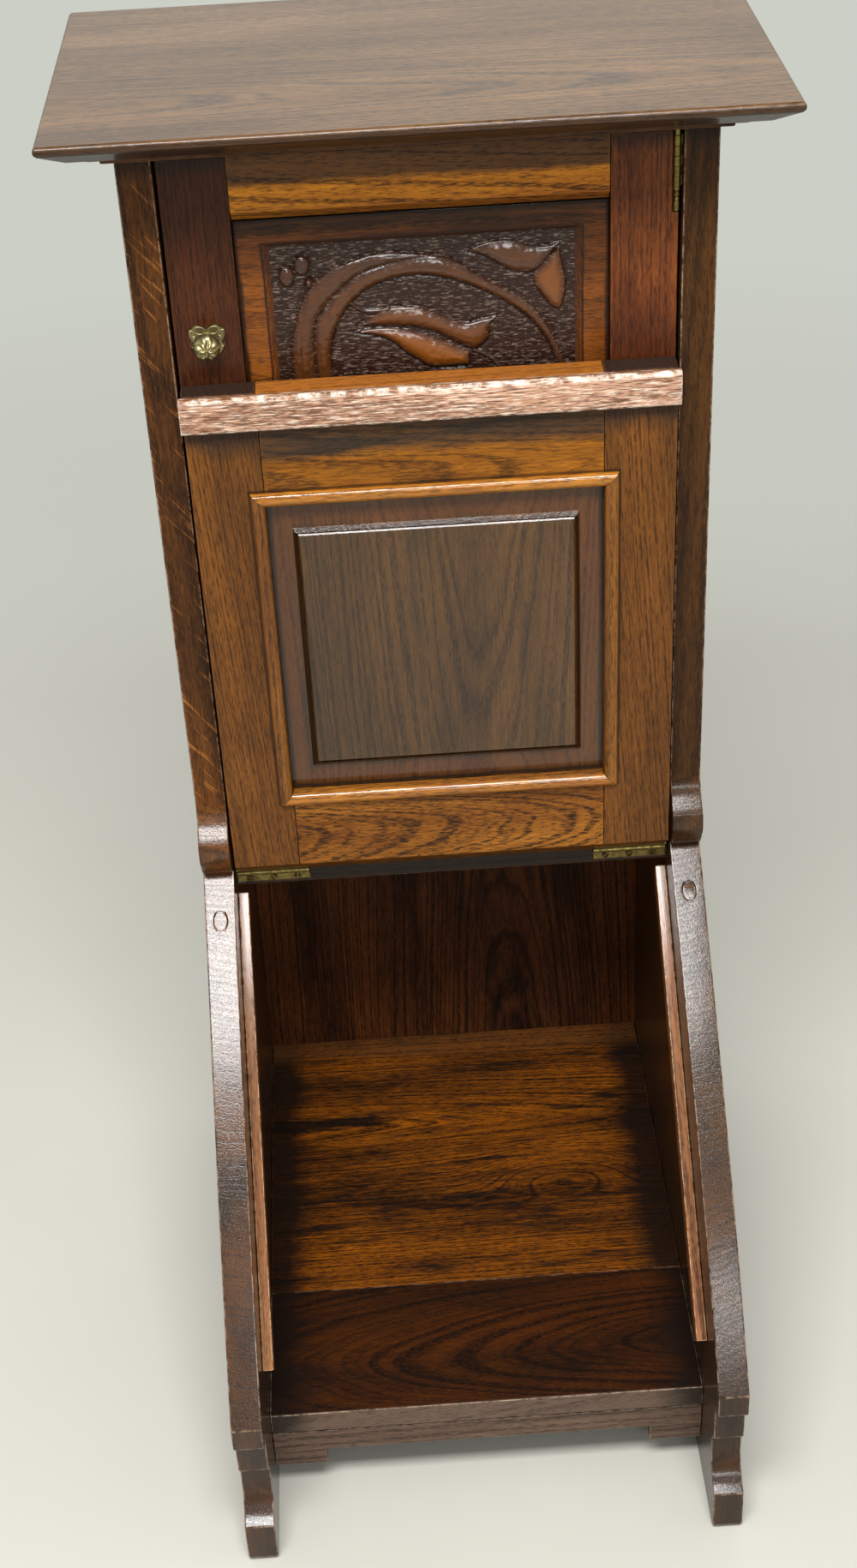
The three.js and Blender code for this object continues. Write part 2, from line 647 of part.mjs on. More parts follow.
const flapCuts = [belowBevel(), ...flapHingeCuts(bevelOut, bevelIn)];
const flapStile = cut(flapFrame.stilePiece, ...flapCuts);
add(cupboard, 'flap_stile_right', flapStile, warmOak);
add(cupboard, 'flap_stile_left', mirrored(flapStile), warmOak);
add(cupboard, 'flap_hinge_rail', cut(flapFrame.bottomRailPiece, ...flapCuts), warmOak);
add(cupboard, 'flap_end_rail', flapFrame.topRailPiece, warmOak);

// raised and fielded panel
function flapPanel({ opening, openLow, openHigh, middle }) {
  const fieldHalf = opening - fieldMargin;
  const [fieldLow, fieldHigh] = [openLow + fieldMarginEnds, openHigh - fieldMarginEnds];
  const fieldFace = flapFace + fieldSetback;
  const tongueFace = middle - tongueThickness / 2;
  return join(
    tongue({ opening, openLow, openHigh, middle }),
    taperedBlock([-opening + panelClearance, opening - panelClearance],
      [openLow + panelClearance, openHigh - panelClearance], tongueFace + marginRise,
      [-fieldHalf, fieldHalf], [fieldLow, fieldHigh], fieldFace + fieldStep),
    block([-fieldHalf, fieldHalf], [fieldFace, middle], [fieldLow, fieldHigh]),
  );
}
add(cupboard, 'flap_panel', flapPanel(flapFrame), panelOak);

// bead planted round the opening, on the frame: (away from the opening, out from the face)
function beadSection() {
  const section = new THREE.Shape();
  section.moveTo(0, fitGap);
  section.lineTo(beadWidth, fitGap);
  section.lineTo(beadWidth, beadHeight * 0.35);
  section.bezierCurveTo(beadWidth * 0.95, beadHeight * 1.15, beadWidth * 0.2, beadHeight * 1.2,
    0, beadHeight * 0.45);
  section.closePath();
  return section;
}

const openMiddle = (flapFrame.openLow + flapFrame.openHigh) / 2;
const openHeight = flapFrame.openHigh - flapFrame.openLow;
for (const [name, out, length, x, z] of [
  ['flap_bead_right', right, openHeight, flapFrame.opening, openMiddle],
  ['flap_bead_left', left, openHeight, -flapFrame.opening, openMiddle],
  ['flap_bead_end', up, 2 * flapFrame.opening, 0, flapFrame.openHigh],
  ['flap_bead_hinge', down, 2 * flapFrame.opening, 0, flapFrame.openLow],
]) {
  add(cupboard, name, mitredStrip(beadSection(), length - 2 * beadMitreGap, 1, 1, out, front,
    new THREE.Vector3(x, flapFace, z)), warmOak);
}

// lip bar across the free end, on the face that lies on the strips
const lipBarHalfWidth = innerHalfWidth - lipBarSideClearance;
add(cupboard, 'lip_bar', extrudeX(polygon([
  [flapFace - fitGap, flapEnd - lipBarWidth], [flapFace - fitGap, flapEnd],
  [flapFace - lipBarThickness + lipBarBevel[0], flapEnd],
  [flapFace - lipBarThickness, flapEnd - lipBarBevel[1]],
  [flapFace - lipBarThickness, flapEnd - lipBarWidth + lipBarArris],
  [flapFace - lipBarThickness + lipBarArris, flapEnd - lipBarWidth],
]), -lipBarHalfWidth, lipBarHalfWidth), wornOak);

// ---- door ----

const doorBottomHeight = frontBoardTopHeight + doorBottomClearance;
const doorTopHeight = sideHeight - headRailHeight - doorTopClearance;
const doorHalfWidth = innerHalfWidth - doorSideClearance;
const doorFrame = framing({
  halfWidth: doorHalfWidth, bottom: doorBottomHeight, top: doorTopHeight, stile: doorStileWidth,
  bottomRail: doorRailWidth, topRail: doorRailWidth, y0: doorFace, thickness: doorThickness,
});
const doorHingeHeights = [
  doorBottomHeight + doorHingeInset + finialLength + doorHingeLength / 2,
  doorTopHeight - doorHingeInset - doorHingeLength / 2,
];
const doorHingeNames = ['lower', 'upper'];
const doorHingeX = innerHalfWidth - doorKnuckleRadius - doorKnuckleSideClearance;
const doorLeafOffset = [-(doorHalfWidth - doorHingeX), -(doorHalfWidth - doorHingeX) + leafThickness];
const frameLeafBack = fitHalfWidth - doorHingeX;
const frameLeafOffset = [frameLeafBack - leafThickness, frameLeafBack];
const doorAxisPoint = (z) => new THREE.Vector3(doorHingeX, doorFace, z);

function doorHingeCuts() {
  return doorHingeHeights.flatMap((z) => {
    const half = doorHingeLength / 2 + fitGap;
    const leafCut = block([doorHalfWidth - leafThickness - fitGap, doorHalfWidth + weld],
      [doorFace - weld, doorFace + doorLeafWidth + fitGap], [z - half, z + half]);
    const barrelLow = z - doorHingeLength / 2 - finialLength - weld;
    const barrelHigh = z + doorHingeLength / 2 + topCapLength + weld;
    const barrelRadius = doorKnuckleRadius + knuckleClearance;
    const barrel = rod(barrelRadius, barrelHigh - barrelLow, 4 * arcSteps, up,
      doorAxisPoint((barrelLow + barrelHigh) / 2));
    const corner = block([doorHingeX, doorHalfWidth + weld], [doorFace - weld, doorFace + barrelRadius],
      [barrelLow, barrelHigh]);
    return [leafCut, barrel, corner];
  });
}

// the knob's spigot ends in front of the tenons
const knobX = knobFromDoorEdge - doorHalfWidth;
const knobHeight = flapEnd + knobAboveFlap;
const spigotLength = (doorThickness - tenonThickness) / 2 - 2 * fitGap;
const spigotHole = rod(spigotRadius + fitGap, 2 * (spigotLength + fitGap), 2 * arcSteps, back,
  new THREE.Vector3(knobX, doorFace, knobHeight));
add(cupboard, 'door_stile_right', cut(doorFrame.stilePiece, ...doorHingeCuts()), redOak);
add(cupboard, 'door_stile_left', cut(mirrored(doorFrame.stilePiece), spigotHole), redOak);

// the top rail's lower edge is chamfered
const chamfer = extrudeX(polygon([
  [doorFace - weld, doorFrame.openHigh - weld], [doorFace + doorChamferDepth, doorFrame.openHigh - weld],
  [doorFace + doorChamferDepth, doorFrame.openHigh], [doorFace, doorFrame.openHigh + doorChamfer],
  [doorFace - weld, doorFrame.openHigh + doorChamfer],
]), -bodyWidth, bodyWidth);
add(cupboard, 'door_top_rail', cut(doorFrame.topRailPiece, chamfer), warmOak);
add(cupboard, 'door_bottom_rail', doorFrame.bottomRailPiece, warmOak);

// the carving: a tapering double band that arches over two leaves, with a flower and berries beside
// it. Its points are (right, up) from the middle of a field of the drawn half width and half height.
const drawnField = [95.4, 54];
const bandRidge = [[-68, -54], [-68, -6], [-62, 9], [-49, 23], [-30, 34], [8, 40]];
const carvedOutlines = [
  // outer band
  [bandRidge, [[8, 40], [-12, 43], [-36, 42], [-67, 27], [-82, -8], [-83, -54]]],
  // inner band, which runs on over the leaves and down at the right
  [[...bandRidge, [37, 24], [67, 3], [84, -30], [88, -54]],
    [[83, -54], [79, -32], [64, -5], [33, 17], [-3, 28], [-37, 19], [-57, -11], [-56, -54]]],
  // leaves
  [[[-41, -2], [-25, 8], [-9, 9], [16, -1], [32, -2], [44, -1]],
    [[44, -1], [38, -15], [29, -21], [16, -15], [-7, -5], [-28, -3], [-41, -2]]],
  [[[-45, -6], [-23, -4], [-2, -9], [26, -22], [25, -32]], [[25, -32], [5, -30], [-17, -19], [-45, -6]]],
  // petals
  [[[25, 41], [44, 47], [65, 43], [84, 44]], [[84, 44], [75, 33], [67, 26], [51, 28], [25, 41]]],
  [[[82, 41], [86, 19], [82, 0]], [[82, 0], [66, 19], [66, 25], [82, 41]]],
];
const carvedBerries = [[-73, 38], [-81, 32], [-69, 28]];
const berryRadii = [4.4, 5.6];

function carvedForm(edges, stretch, rounding, groundY) {
  const shape = new THREE.Shape();
  const start = stretch(edges[0][0]);
  shape.moveTo(start.x, start.y);
  for (const [first, ...rest] of edges) {
    const from = stretch(first);
    if (from.distanceTo(shape.currentPoint) > fitGap) shape.lineTo(from.x, from.y);
    shape.splineThru(rest.map(stretch));
  }
  const rooted = 2 * fitGap;      // how far its straight sides reach into the panel
  const geometry = new THREE.ExtrudeGeometry(shape, {
    depth: carvedLift - carvedRounding + rooted, steps: 1, curveSegments: 2,
    bevelThickness: carvedRounding, bevelSize: rounding, bevelOffset: -rounding, bevelSegments: 2,
  });
  return geometry.applyMatrix4(new THREE.Matrix4().makeBasis(right, up, front)
    .setPosition(0, groundY + rooted, 0));
}

// the carved panel: a sunk field with bevelled sides, and the carving on its ground
function doorPanel(frame) {
  const face = doorFace + doorPanelSetback;
  const groundY = face + carvedSink;
  const halfWidth = frame.opening - carvedMargin;
  const [low, high] = [frame.openLow + carvedMarginEnds, frame.openHigh - carvedMarginEnds];
  const sunk = taperedBlock([-halfWidth + carvedBevel, halfWidth - carvedBevel],
    [low + carvedBevel, high - carvedBevel], groundY,
    [-halfWidth - carvedBevel, halfWidth + carvedBevel], [low - carvedBevel, high + carvedBevel],
    face - carvedSink);
  const body = join(tongue(frame), block([-frame.opening + panelClearance, frame.opening - panelClearance],
    [face, frame.middle], [frame.openLow + panelClearance, frame.openHigh - panelClearance]));
  const scale = [halfWidth / drawnField[0], (high - low) / 2 / drawnField[1]];
  const middle = (low + high) / 2;
  const stretch = ([x, z]) => new THREE.Vector2(x * scale[0], middle + z * scale[1]);
  const rounding = carvedRounding * Math.min(1, ...scale);
  const forms = carvedOutlines.map((edges) => carvedForm(edges, stretch, rounding, groundY));
  const berries = carvedBerries.map((point) => {
    const place = stretch(point);
    return new THREE.SphereGeometry(1, 2 * arcSteps, arcSteps)
      .scale(berryRadii[0], carvedLift, berryRadii[1]).translate(place.x, groundY, place.y);
  });
  return join(cut(body, sunk), ...forms, ...berries);
}
add(cupboard, 'door_panel', doorPanel(doorFrame), darkOak);

// a hinge pin with a turned finial below and a cap above
function finialPin() {
  // the finial's turnings: (share of the knuckles' radius, share of the finial's length from its tip)
  const turnings = [[0, 0], [0.68, 0], [0.86, 0.03], [0.86, 0.4], [0.68, 0.43], [0.86, 0.5], [0.64, 0.56],
    [0.95, 0.64], [0.95, 0.69], [0.64, 0.77], [1, 0.87]];
  const finialTop = finialLength - fitGap;
  const capBottom = finialLength + doorHingeLength + fitGap;
  const capTop = finialLength + doorHingeLength + topCapLength;
  const capRadius = doorKnuckleRadius - fitGap;
  const points = [
    ...turnings.map(([radius, along]) => [radius * doorKnuckleRadius, along * finialLength]),
    [doorKnuckleRadius, finialTop], [doorHingePinRadius, finialTop], [doorHingePinRadius, capBottom],
    [capRadius, capBottom], [capRadius, capTop - 2 * fitGap], [capRadius - 2 * fitGap, capTop], [0, capTop],
  ];
  const turned = new THREE.LatheGeometry(points.map(([r, z]) => new THREE.Vector2(r, z)), 2 * arcSteps);
  return turned.rotateX(Math.PI / 2).translate(0, 0, -finialLength - doorHingeLength / 2);
}

doorHingeHeights.forEach((z, i) => {
  const size = {
    length: doorHingeLength, radius: doorKnuckleRadius, pinRadius: doorHingePinRadius, width: doorLeafWidth,
  };
  const place = doorAxisPoint(z);
  const name = `door_hinge_${doorHingeNames[i]}`;
  add(cupboard, `${name}_frame_leaf`,
    placeHinge(hingeLeaf({ ...size, offset: frameLeafOffset, odd: true }), back, right, place), brass);
  add(cupboard, `${name}_door_leaf`,
    placeHinge(hingeLeaf({ ...size, offset: doorLeafOffset, odd: false }), back, left, place), brass);
  add(cupboard, `${name}_pin`, finialPin().translate(place.x, place.y, place.z), brass);
});

// ---- knob ----

// bow-shaped backplate: two lobes at the top, drawn in below
function plateOutline() {
  const dip = plateTop - lobeDip;
  const waist = plateTop - 11;
  // the right half, from the top: (share of the half width, height) for each curve's three points
  const curves = [
    [[0.25, dip], [0.35, plateTop], [0.55, plateTop]],
    [[0.75, plateTop], [0.7, dip], [0.85, dip]],
    [[1.1, dip], [1.02, waist + 3], [0.8, waist]],
    [[1.05, waist - 4], [0.6, 2 - plateBottom], [0, -plateBottom]],
  ];
  const steps = curves.flat();
  const leftHalf = [...steps.slice(0, -1).reverse(), [0, dip]];
  const outline = new THREE.Shape();
  outline.moveTo(0, dip);
  const trace = (points, side) => {
    for (let i = 0; i < points.length; i += 3) {
      const [a, b, c] = points.slice(i, i + 3)
        .map(([share, height]) => [side * share * plateHalfWidth, height]);
      outline.bezierCurveTo(...a, ...b, ...c);
    }
  };
  trace(steps, 1);
  trace(leftHalf, -1);
  return outline;
}

const plateY = doorFace - fitGap;
add(cupboard, 'knob_backplate', cut(
  extrudeY(plateOutline(), plateY - plateThickness, plateY).translate(knobX, 0, knobHeight),
  spigotHole,
), brass);

function knob() {
  const neck = plateThickness + 2 * fitGap;
  const points = [[0, -spigotLength], [spigotRadius, -spigotLength], [spigotRadius, neck], [5.2, neck],
    [4.2, neck + 2], [3.6, neck + 5], [4.4, knobReach - 9.5], [knobRadius * 0.9, knobReach - 8],
    [knobRadius, knobReach - 6.2], [knobRadius * 0.94, knobReach - 4], [knobRadius * 0.74, knobReach - 2],
    [knobRadius * 0.4, knobReach - 0.5], [0, knobReach]];
  const turned = new THREE.LatheGeometry(points.map(([r, h]) => new THREE.Vector2(r, h)), 24);
  return turned.rotateZ(Math.PI).translate(knobX, doorFace, knobHeight);
}
add(cupboard, 'knob', knob(), brass);

// ---- origin: middle of the footprint, on the floor ----

const frontmost = -Math.max(noseReach, toeReach);
cupboard.position.y = -(frontmost + topBack) / 2;

export default cupboard;
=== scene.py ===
import math

import bmesh
import bpy
import numpy as np
from mathutils import Matrix, Vector, noise


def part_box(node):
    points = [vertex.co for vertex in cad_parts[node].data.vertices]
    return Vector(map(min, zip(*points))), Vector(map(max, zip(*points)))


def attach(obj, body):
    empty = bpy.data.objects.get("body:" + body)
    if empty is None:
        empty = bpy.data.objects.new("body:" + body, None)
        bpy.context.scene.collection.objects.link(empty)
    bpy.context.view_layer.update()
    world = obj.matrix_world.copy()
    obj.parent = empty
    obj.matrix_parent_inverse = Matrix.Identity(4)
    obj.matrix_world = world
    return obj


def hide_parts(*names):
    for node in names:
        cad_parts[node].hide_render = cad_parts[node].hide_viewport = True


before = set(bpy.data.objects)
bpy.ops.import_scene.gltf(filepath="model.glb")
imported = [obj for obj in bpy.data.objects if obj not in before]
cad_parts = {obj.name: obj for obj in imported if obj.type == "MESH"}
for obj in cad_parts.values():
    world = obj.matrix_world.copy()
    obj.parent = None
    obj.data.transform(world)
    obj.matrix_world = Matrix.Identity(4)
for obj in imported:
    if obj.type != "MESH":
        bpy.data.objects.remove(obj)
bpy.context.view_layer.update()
mm = 0.001


def linear(hexColour):
    # an sRGB hex colour as linear red, green, blue and full alpha
    parts = [int(hexColour[i:i + 2], 16) / 255 for i in (1, 3, 5)]
    return [p / 12.92 if p <= 0.04045 else ((p + 0.055) / 1.055) ** 2.4 for p in parts] + [1]


def startTree(owner):
    # clears the owner's node tree, and gives the function that adds a node to it
    owner.use_nodes = True
    tree = owner.node_tree
    tree.nodes.clear()

    def add(kind, settings={}, links={}):
        # settings name a property, or a socket by its name or number, and may be hex colours; links give
        # a socket the node that feeds it, or that node and the name of its output
        node = tree.nodes.new("ShaderNode" + kind)
        for key, value in settings.items():
            value = linear(value) if str(value).startswith("#") else value
            if isinstance(key, int) or key in node.inputs:
                node.inputs[key].default_value = value
            else:
                setattr(node, key, value)
        for key, source in links.items():
            source, output = source if isinstance(source, tuple) else (source, None)
            shown = [socket for socket in source.outputs if socket.enabled]
            tree.links.new(source.outputs[output] if output else shown[0], node.inputs[key])
        return node

    return add


def seenDirectly(add):
    # 1 for what the camera sees, also in reflections and through clear things, and 0 for light on its way
    path = add("LightPath")
    seen = add("Math", {"operation": "MAXIMUM"}, {0: (path, "Is Camera Ray"), 1: (path, "Is Glossy Ray")})
    return add("Math", {"operation": "MAXIMUM"}, {0: seen, 1: (path, "Is Transmission Ray")})


def mark(piece, name, values):
    # a number at each point of the mesh, which the finish reads
    piece.data.attributes.new(name, "FLOAT", "POINT").data.foreach_set("value", values)


def bevel(piece, width, segments, limit="ANGLE"):
    # rounds the arrises of the active piece off by that width in mm
    rounding = piece.modifiers.new("round", "BEVEL")
    rounding.width = width * mm
    rounding.segments = segments
    rounding.limit_method = limit
    rounding.use_clamp_overlap = limit == "ANGLE"
    bpy.ops.object.modifier_apply(modifier="round")


# ---- camera at the photograph's viewpoint
print("camera")
cameraSet = {
    "place": (-0.0387, -1.2356, 1.3435),
    "down": 35.83,        # degrees below level
    "right": 1.118,       # degrees turned to the right
    "roll": -3.07,        # degrees, the horizon falls to the right
    "sensor": 24.0,
    "focal": 34.45,
    "shift": (-0.0015, 0.0314),
}
cameraData = bpy.data.cameras.new("camera")
cameraData.sensor_fit = "VERTICAL"
cameraData.sensor_height = cameraSet["sensor"]
cameraData.sensor_width = cameraSet["sensor"] * 1000 / 1830
cameraData.lens = cameraSet["focal"]
cameraData.shift_x, cameraData.shift_y = cameraSet["shift"]
camera = bpy.data.objects.new("camera", cameraData)
bpy.context.scene.collection.objects.link(camera)
bpy.context.scene.camera = camera
turn = (Matrix.Rotation(math.radians(-cameraSet["right"]), 4, "Z")
        @ Matrix.Rotation(math.radians(90 - cameraSet["down"]), 4, "X")
        @ Matrix.Rotation(math.radians(cameraSet["roll"]), 4, "Z"))
camera.matrix_world = Matrix.Translation(cameraSet["place"]) @ turn


# ---- oak: open-pored ring-porous hardwood, flat-sawn, stained and shellacked: streaks of brown and
# orange along the grain, dark pore dashes crowded in rows along each ring, stain that settled in grey
# and black patches, and a warm gloss with paler arrises, where hands rubbed it and a painted highlight
# runs along them. Each look is one finish
oakDefaults = {
    "heart": (0, 0.08, 0),  # metres, a point on the tree's heart line
    "turn": (2, 0, 0),      # degrees, turns the Z axis to that line; the grain runs nearly along it
    "ring": 3.0,            # mm, average from ring to ring
    "wander": 6.0,          # mm that the rings wander
    "knots": [],            # (place in metres, reach in mm): rings flow round these places
    "low": "#3c2012",       # wood, darkest and lightest
    "high": "#7a481f",
    "ringShare": 0.3,       # how strongly the rings darken the wood
    "pore": "#140a05",
    "pores": 0.5,           # how strongly the pores show
    "patch": 0.3,           # how strongly dark patches of stain show
    "patchTone": "#1f1812",
    "patchShare": 0.58,     # smaller for more patches
    "borders": [],          # (axis, start, end, depth, colour): changes to colour from start to end
    "lines": [],            # (middle, half size, distance outside it in mm, width in mm, depth, colour): painted shade in a corner round a panel or a field, and bands of stain round them
                            # dirt and stain that settled in a corner round a panel or a field
    "fleck": 0.0,           # how strongly ray flecks show, on quarter-sawn faces
    "fleckTone": "#a8672e",
    "rubGlintTone": "#8a5a34",       # paler wood on the arrises, where the stain is rubbed away, and painted highlight along them
    "rubGlintShare": 0.5,
    "gloss": 0.22,          # share of clear polish over the wood
    "glossLow": 0.0,        # the same on a side board's low edges, if they are polished more
    "lowEnd": 0.455,        # metres, the height where a side board's slanted part and scroll end
    "outside": 0.175,       # metres, how far out its outer face lies
    "polish": 0.12,         # roughness of that polish
    "rough": 0.55,          # roughness of the wood under it
    "ground": "",           # colour of cut ground, on a carving whose mesh says how high it stands
    "strokeRubAndGlintTone": "#9a8474",  # tops of the tool strokes on it, rubbed pale and painted as glints
    "amberTone": "#80460e",   # polish on its leaves
    "relief": 0.4,          # strength of pores and fibres in the surface
    "ripple": 340.0,        # ripples in a metre across the grain, left by the plane and the years
    "ridge": 0.02,          # mm, their height
    "ridgeShare": 0.0,      # how strongly their tops are painted pale, as rubbed wood and glints, and their hollows dark
}


def oak(name, look):
    look = {**oakDefaults, **look}
    material = bpy.data.materials.new(name)
    add = startTree(material)
    place = (add("TexCoord"), "Object")
    axes = add("SeparateXYZ", {}, {"Vector": place})
    # the place in the tree, squeezed along the grain: for rings and clouds, for pores, for fibres
    turned = [math.radians(a) for a in look["turn"]]
    log, vessels, fibres = [
        add("Mapping", {"vector_type": "TEXTURE", "Location": look["heart"], "Rotation": turned,
                        "Scale": (1, 1, squeeze)}, {"Vector": place}) for squeeze in (8, 10, 13)]
    # distance from the heart line, with a wander of its own, read through a one-dimensional noise, so
    # that wide and narrow rings follow each other as good and bad years do
    across = add("VectorMath", {"operation": "MULTIPLY", 1: (1, 1, 0)}, {0: log})
    years = add("VectorMath", {"operation": "LENGTH"}, {0: across})
    sway = add("TexNoise", {"Scale": 16.0, "Detail": 3.0}, {"Vector": log})
    years = add("Math", {"operation": "MULTIPLY_ADD", 1: 2 * look["wander"] * mm}, {0: sway, 2: years})
    for knotPlace, reach in look["knots"]:
        apart = add("VectorMath", {"operation": "SUBTRACT", 1: knotPlace}, {0: place})
        apart = add("VectorMath", {"operation": "MULTIPLY", 1: (0.45, 1, 1)}, {0: apart})
        apart = add("VectorMath", {"operation": "LENGTH"}, {0: apart})
        hump = add("MapRange", {"interpolation_type": "SMOOTHERSTEP", "From Max": reach * mm,
                                "To Min": 0.6 * reach * mm, "To Max": 0.0}, {"Value": apart})
        years = add("Math", {"operation": "ADD"}, {0: years, 1: hump})
    rings = add("TexNoise", {"noise_dimensions": "1D", "Scale": 1.7 / (look["ring"] * mm), "Detail": 1.5,
                             "Roughness": 0.6}, {"W": years})
    early = add("MapRange", {"From Min": 0.55, "From Max": 0.36}, {"Value": rings})
    # pores are about 0.3 mm wide, drawn near 0.5 mm wide so that they show in the render
    pores = add("TexNoise", {"Scale": 1500.0, "Detail": 1.5}, {"Vector": vessels})
    packed = add("Math", {"operation": "MULTIPLY_ADD", 1: 0.15}, {0: early, 2: pores})
    dashes = add("MapRange", {"From Min": 0.56, "From Max": 0.69, "To Max": look["pores"]},
                 {"Value": packed})
    cloud = add("TexNoise", {"Scale": 24.0, "Detail": 5.0, "Roughness": 0.65}, {"Vector": log})
    hairs = add("TexNoise", {"Scale": 650.0, "Detail": 3.0, "Roughness": 0.7}, {"Vector": fibres})
    lift = add("Math", {"operation": "MULTIPLY_ADD", 1: 0.6}, {0: hairs, 2: cloud})
    lift = add("MapRange", {"From Min": 0.6, "From Max": 1.0}, {"Value": lift})
    colour = add("Mix", {"data_type": "RGBA", 6: look["low"], 7: look["high"]}, {0: lift})
    # the open early wood is dark because its pores are, so each dark ring is broken into dashes
    broken = add("MapRange", {"From Min": 0.38, "From Max": 0.58, "To Min": 0.35}, {"Value": pores})
    broken = add("Math", {"operation": "MULTIPLY"}, {0: early, 1: broken})
    shade = add("MapRange", {"To Min": 1.0, "To Max": 1.0 - look["ringShare"]}, {"Value": broken})
    colour = add("Mix", {"data_type": "RGBA", "blend_type": "MULTIPLY", 0: 1.0}, {6: colour, 7: shade})
    layers = []  # (how much of it shows, tone), laid over the wood in turn
    if look["patch"]:
        spots = add("TexNoise", {"Scale": 34.0, "Detail": 6.0, "Roughness": 0.72}, {"Vector": log})
        spots = add("MapRange", {"From Min": look["patchShare"], "From Max": look["patchShare"] + 0.09,
                                 "To Max": look["patch"]}, {"Value": spots})
        layers.append((spots, look["patchTone"]))
    if look["fleck"]:
        # rays cut lengthwise, thin and slanting over the grain
        rays = add("Mapping", {"vector_type": "TEXTURE", "Rotation": (0, math.radians(-38), 0),
                               "Scale": (1, 1, 14)}, {"Vector": place})
        rays = add("TexNoise", {"Scale": 430.0, "Detail": 1.0}, {"Vector": rays})
        upright = add("MapRange", {"From Min": look["lowEnd"], "From Max": look["lowEnd"] + 0.01,
                                   "To Max": look["fleck"]}, {"Value": (axes, "Z")})
        rays = add("MapRange", {"From Min": 0.63, "From Max": 0.76}, {"Value": rays, "To Max": upright})
        layers.append((rays, look["fleckTone"]))
    for axis, start, end, depth, tone in look["borders"]:
        uneven = add("Math", {"operation": "MULTIPLY_ADD", 1: 2.4 * (start - end)},
                     {0: cloud, 2: (axes, axis)})
        edge = add("MapRange", {"From Min": start + 1.2 * (start - end),
                                "From Max": end + 1.2 * (start - end), "To Max": depth}, {"Value": uneven})
        layers.append((edge, tone))
    # thin dark lines are painted corner shade, broad bands are stain
    for middle, half, outside, width, depth, tone in look["lines"]:
        apart = add("VectorMath", {"operation": "SUBTRACT", 1: middle}, {0: place})
        apart = add("VectorMath", {"operation": "ABSOLUTE"}, {0: apart})
        apart = add("VectorMath", {"operation": "SUBTRACT", 1: half}, {0: apart})
        apart = add("SeparateXYZ", {}, {0: apart})
        apart = add("Math", {"operation": "MAXIMUM"}, {0: (apart, "X"), 1: (apart, "Z")})
        apart = add("Math", {"operation": "MULTIPLY_ADD", 1: 2 * width * mm}, {0: cloud, 2: apart})
        apart = add("Math", {"operation": "SUBTRACT", 1: (outside + width) * mm}, {0: apart})
        apart = add("Math", {"operation": "ABSOLUTE"}, {0: apart})
        cornerShadeAndStain = add("MapRange", {"From Min": width * mm, "From Max": 0.3 * width * mm, "To Max": depth},
                   {"Value": apart})
        layers.append((cornerShadeAndStain, tone))
    layers.append((dashes, look["pore"]))
    ripples = add("TexNoise", {"Scale": look["ripple"], "Detail": 4.0, "Roughness": 0.6},
                  {"Vector": fibres})
    if look["ridgeShare"]:
        hollow = add("MapRange", {"From Min": 0.46, "From Max": 0.36, "To Max": look["ridgeShare"]},
                     {"Value": ripples})
        layers.append((hollow, look["pore"]))
        crest = add("MapRange", {"From Min": 0.54, "From Max": 0.64, "To Max": look["ridgeShare"]},
                    {"Value": ripples})
        layers.append((crest, look["rubGlintTone"]))
    if look["ground"]:
        raised = add("Attribute", {"attribute_name": "raised"})
        amber = add("Attribute", {"attribute_name": "amber"})
        layers.append(((amber, "Fac"), look["amberTone"]))
    for share, tone in layers:
        colour = add("Mix", {"data_type": "RGBA", 7: tone}, {0: share, 6: colour})
    height = add("Math", {"operation": "MULTIPLY_ADD", 1: -1.6}, {0: dashes, 2: hairs})
    if look["ground"]:
        # the ground of the carving is struck with a tool, in short strokes whose tops are rubbed pale and
        # painted as glints
        cuts = add("Mapping", {"vector_type": "TEXTURE", "Scale": (5, 5, 1)}, {"Vector": place})
        cuts = add("TexNoise", {"Scale": 1300.0, "Detail": 2.0}, {"Vector": cuts})
        strokes = add("MapRange", {"From Min": 0.54, "From Max": 0.7, "To Max": 0.42}, {"Value": cuts})
        struck = add("Mix", {"data_type": "RGBA", 6: look["ground"], 7: look["strokeRubAndGlintTone"]}, {0: strokes})
        # forms fade down into the struck ground's dark tone: the ground's own colour, and painted shade at
        # the foot of each form
        colour = add("Mix", {"data_type": "RGBA"}, {0: (raised, "Fac"), 6: struck, 7: colour})
        height = add("Math", {"operation": "ADD"}, {0: height, 1: cuts})
    # paler arrises: stain rubbed away, and a painted highlight along them
    arris = add("Attribute", {"attribute_name": "arris"})
    chips = add("TexNoise", {"Scale": 130.0, "Detail": 5.0, "Roughness": 0.7}, {"Vector": place})
    chips = add("MapRange", {"From Min": 0.42, "From Max": 0.6, "To Max": look["rubGlintShare"]},
                {"Value": chips})
    rubAndGlint = add("Math", {"operation": "MULTIPLY"}, {0: (arris, "Fac"), 1: chips})
    colour = add("Mix", {"data_type": "RGBA", 7: look["rubGlintTone"]}, {0: rubAndGlint, 6: colour})
    # the polish lies smoother over the pores and fibres than the wood under it
    bump, skin = [add("Bump", {"Strength": share * look["relief"], "Distance": 0.3 * mm},
                      {"Height": height}) for share in (1.0, 0.2)]
    bump, skin = [add("Bump", {"Strength": 1.0, "Distance": look["ridge"] * mm},
                      {"Height": ripples, "Normal": under}) for under in (bump, skin)]
    sheen = add("MapRange", {"From Min": 0.25, "From Max": 0.75, "To Min": look["rough"] + 0.15,
                             "To Max": look["rough"] - 0.1}, {"Value": cloud})
    shader = add("BsdfPrincipled",
                 {"IOR": 1.5, "Specular IOR Level": 0.1, "Coat Weight": look["gloss"], "Coat IOR": 1.5,
                  "Coat Roughness": look["polish"]},
                 {"Base Color": colour, "Roughness": sheen, "Normal": bump, "Coat Normal": skin})
    shine = None
    if look["glossLow"]:
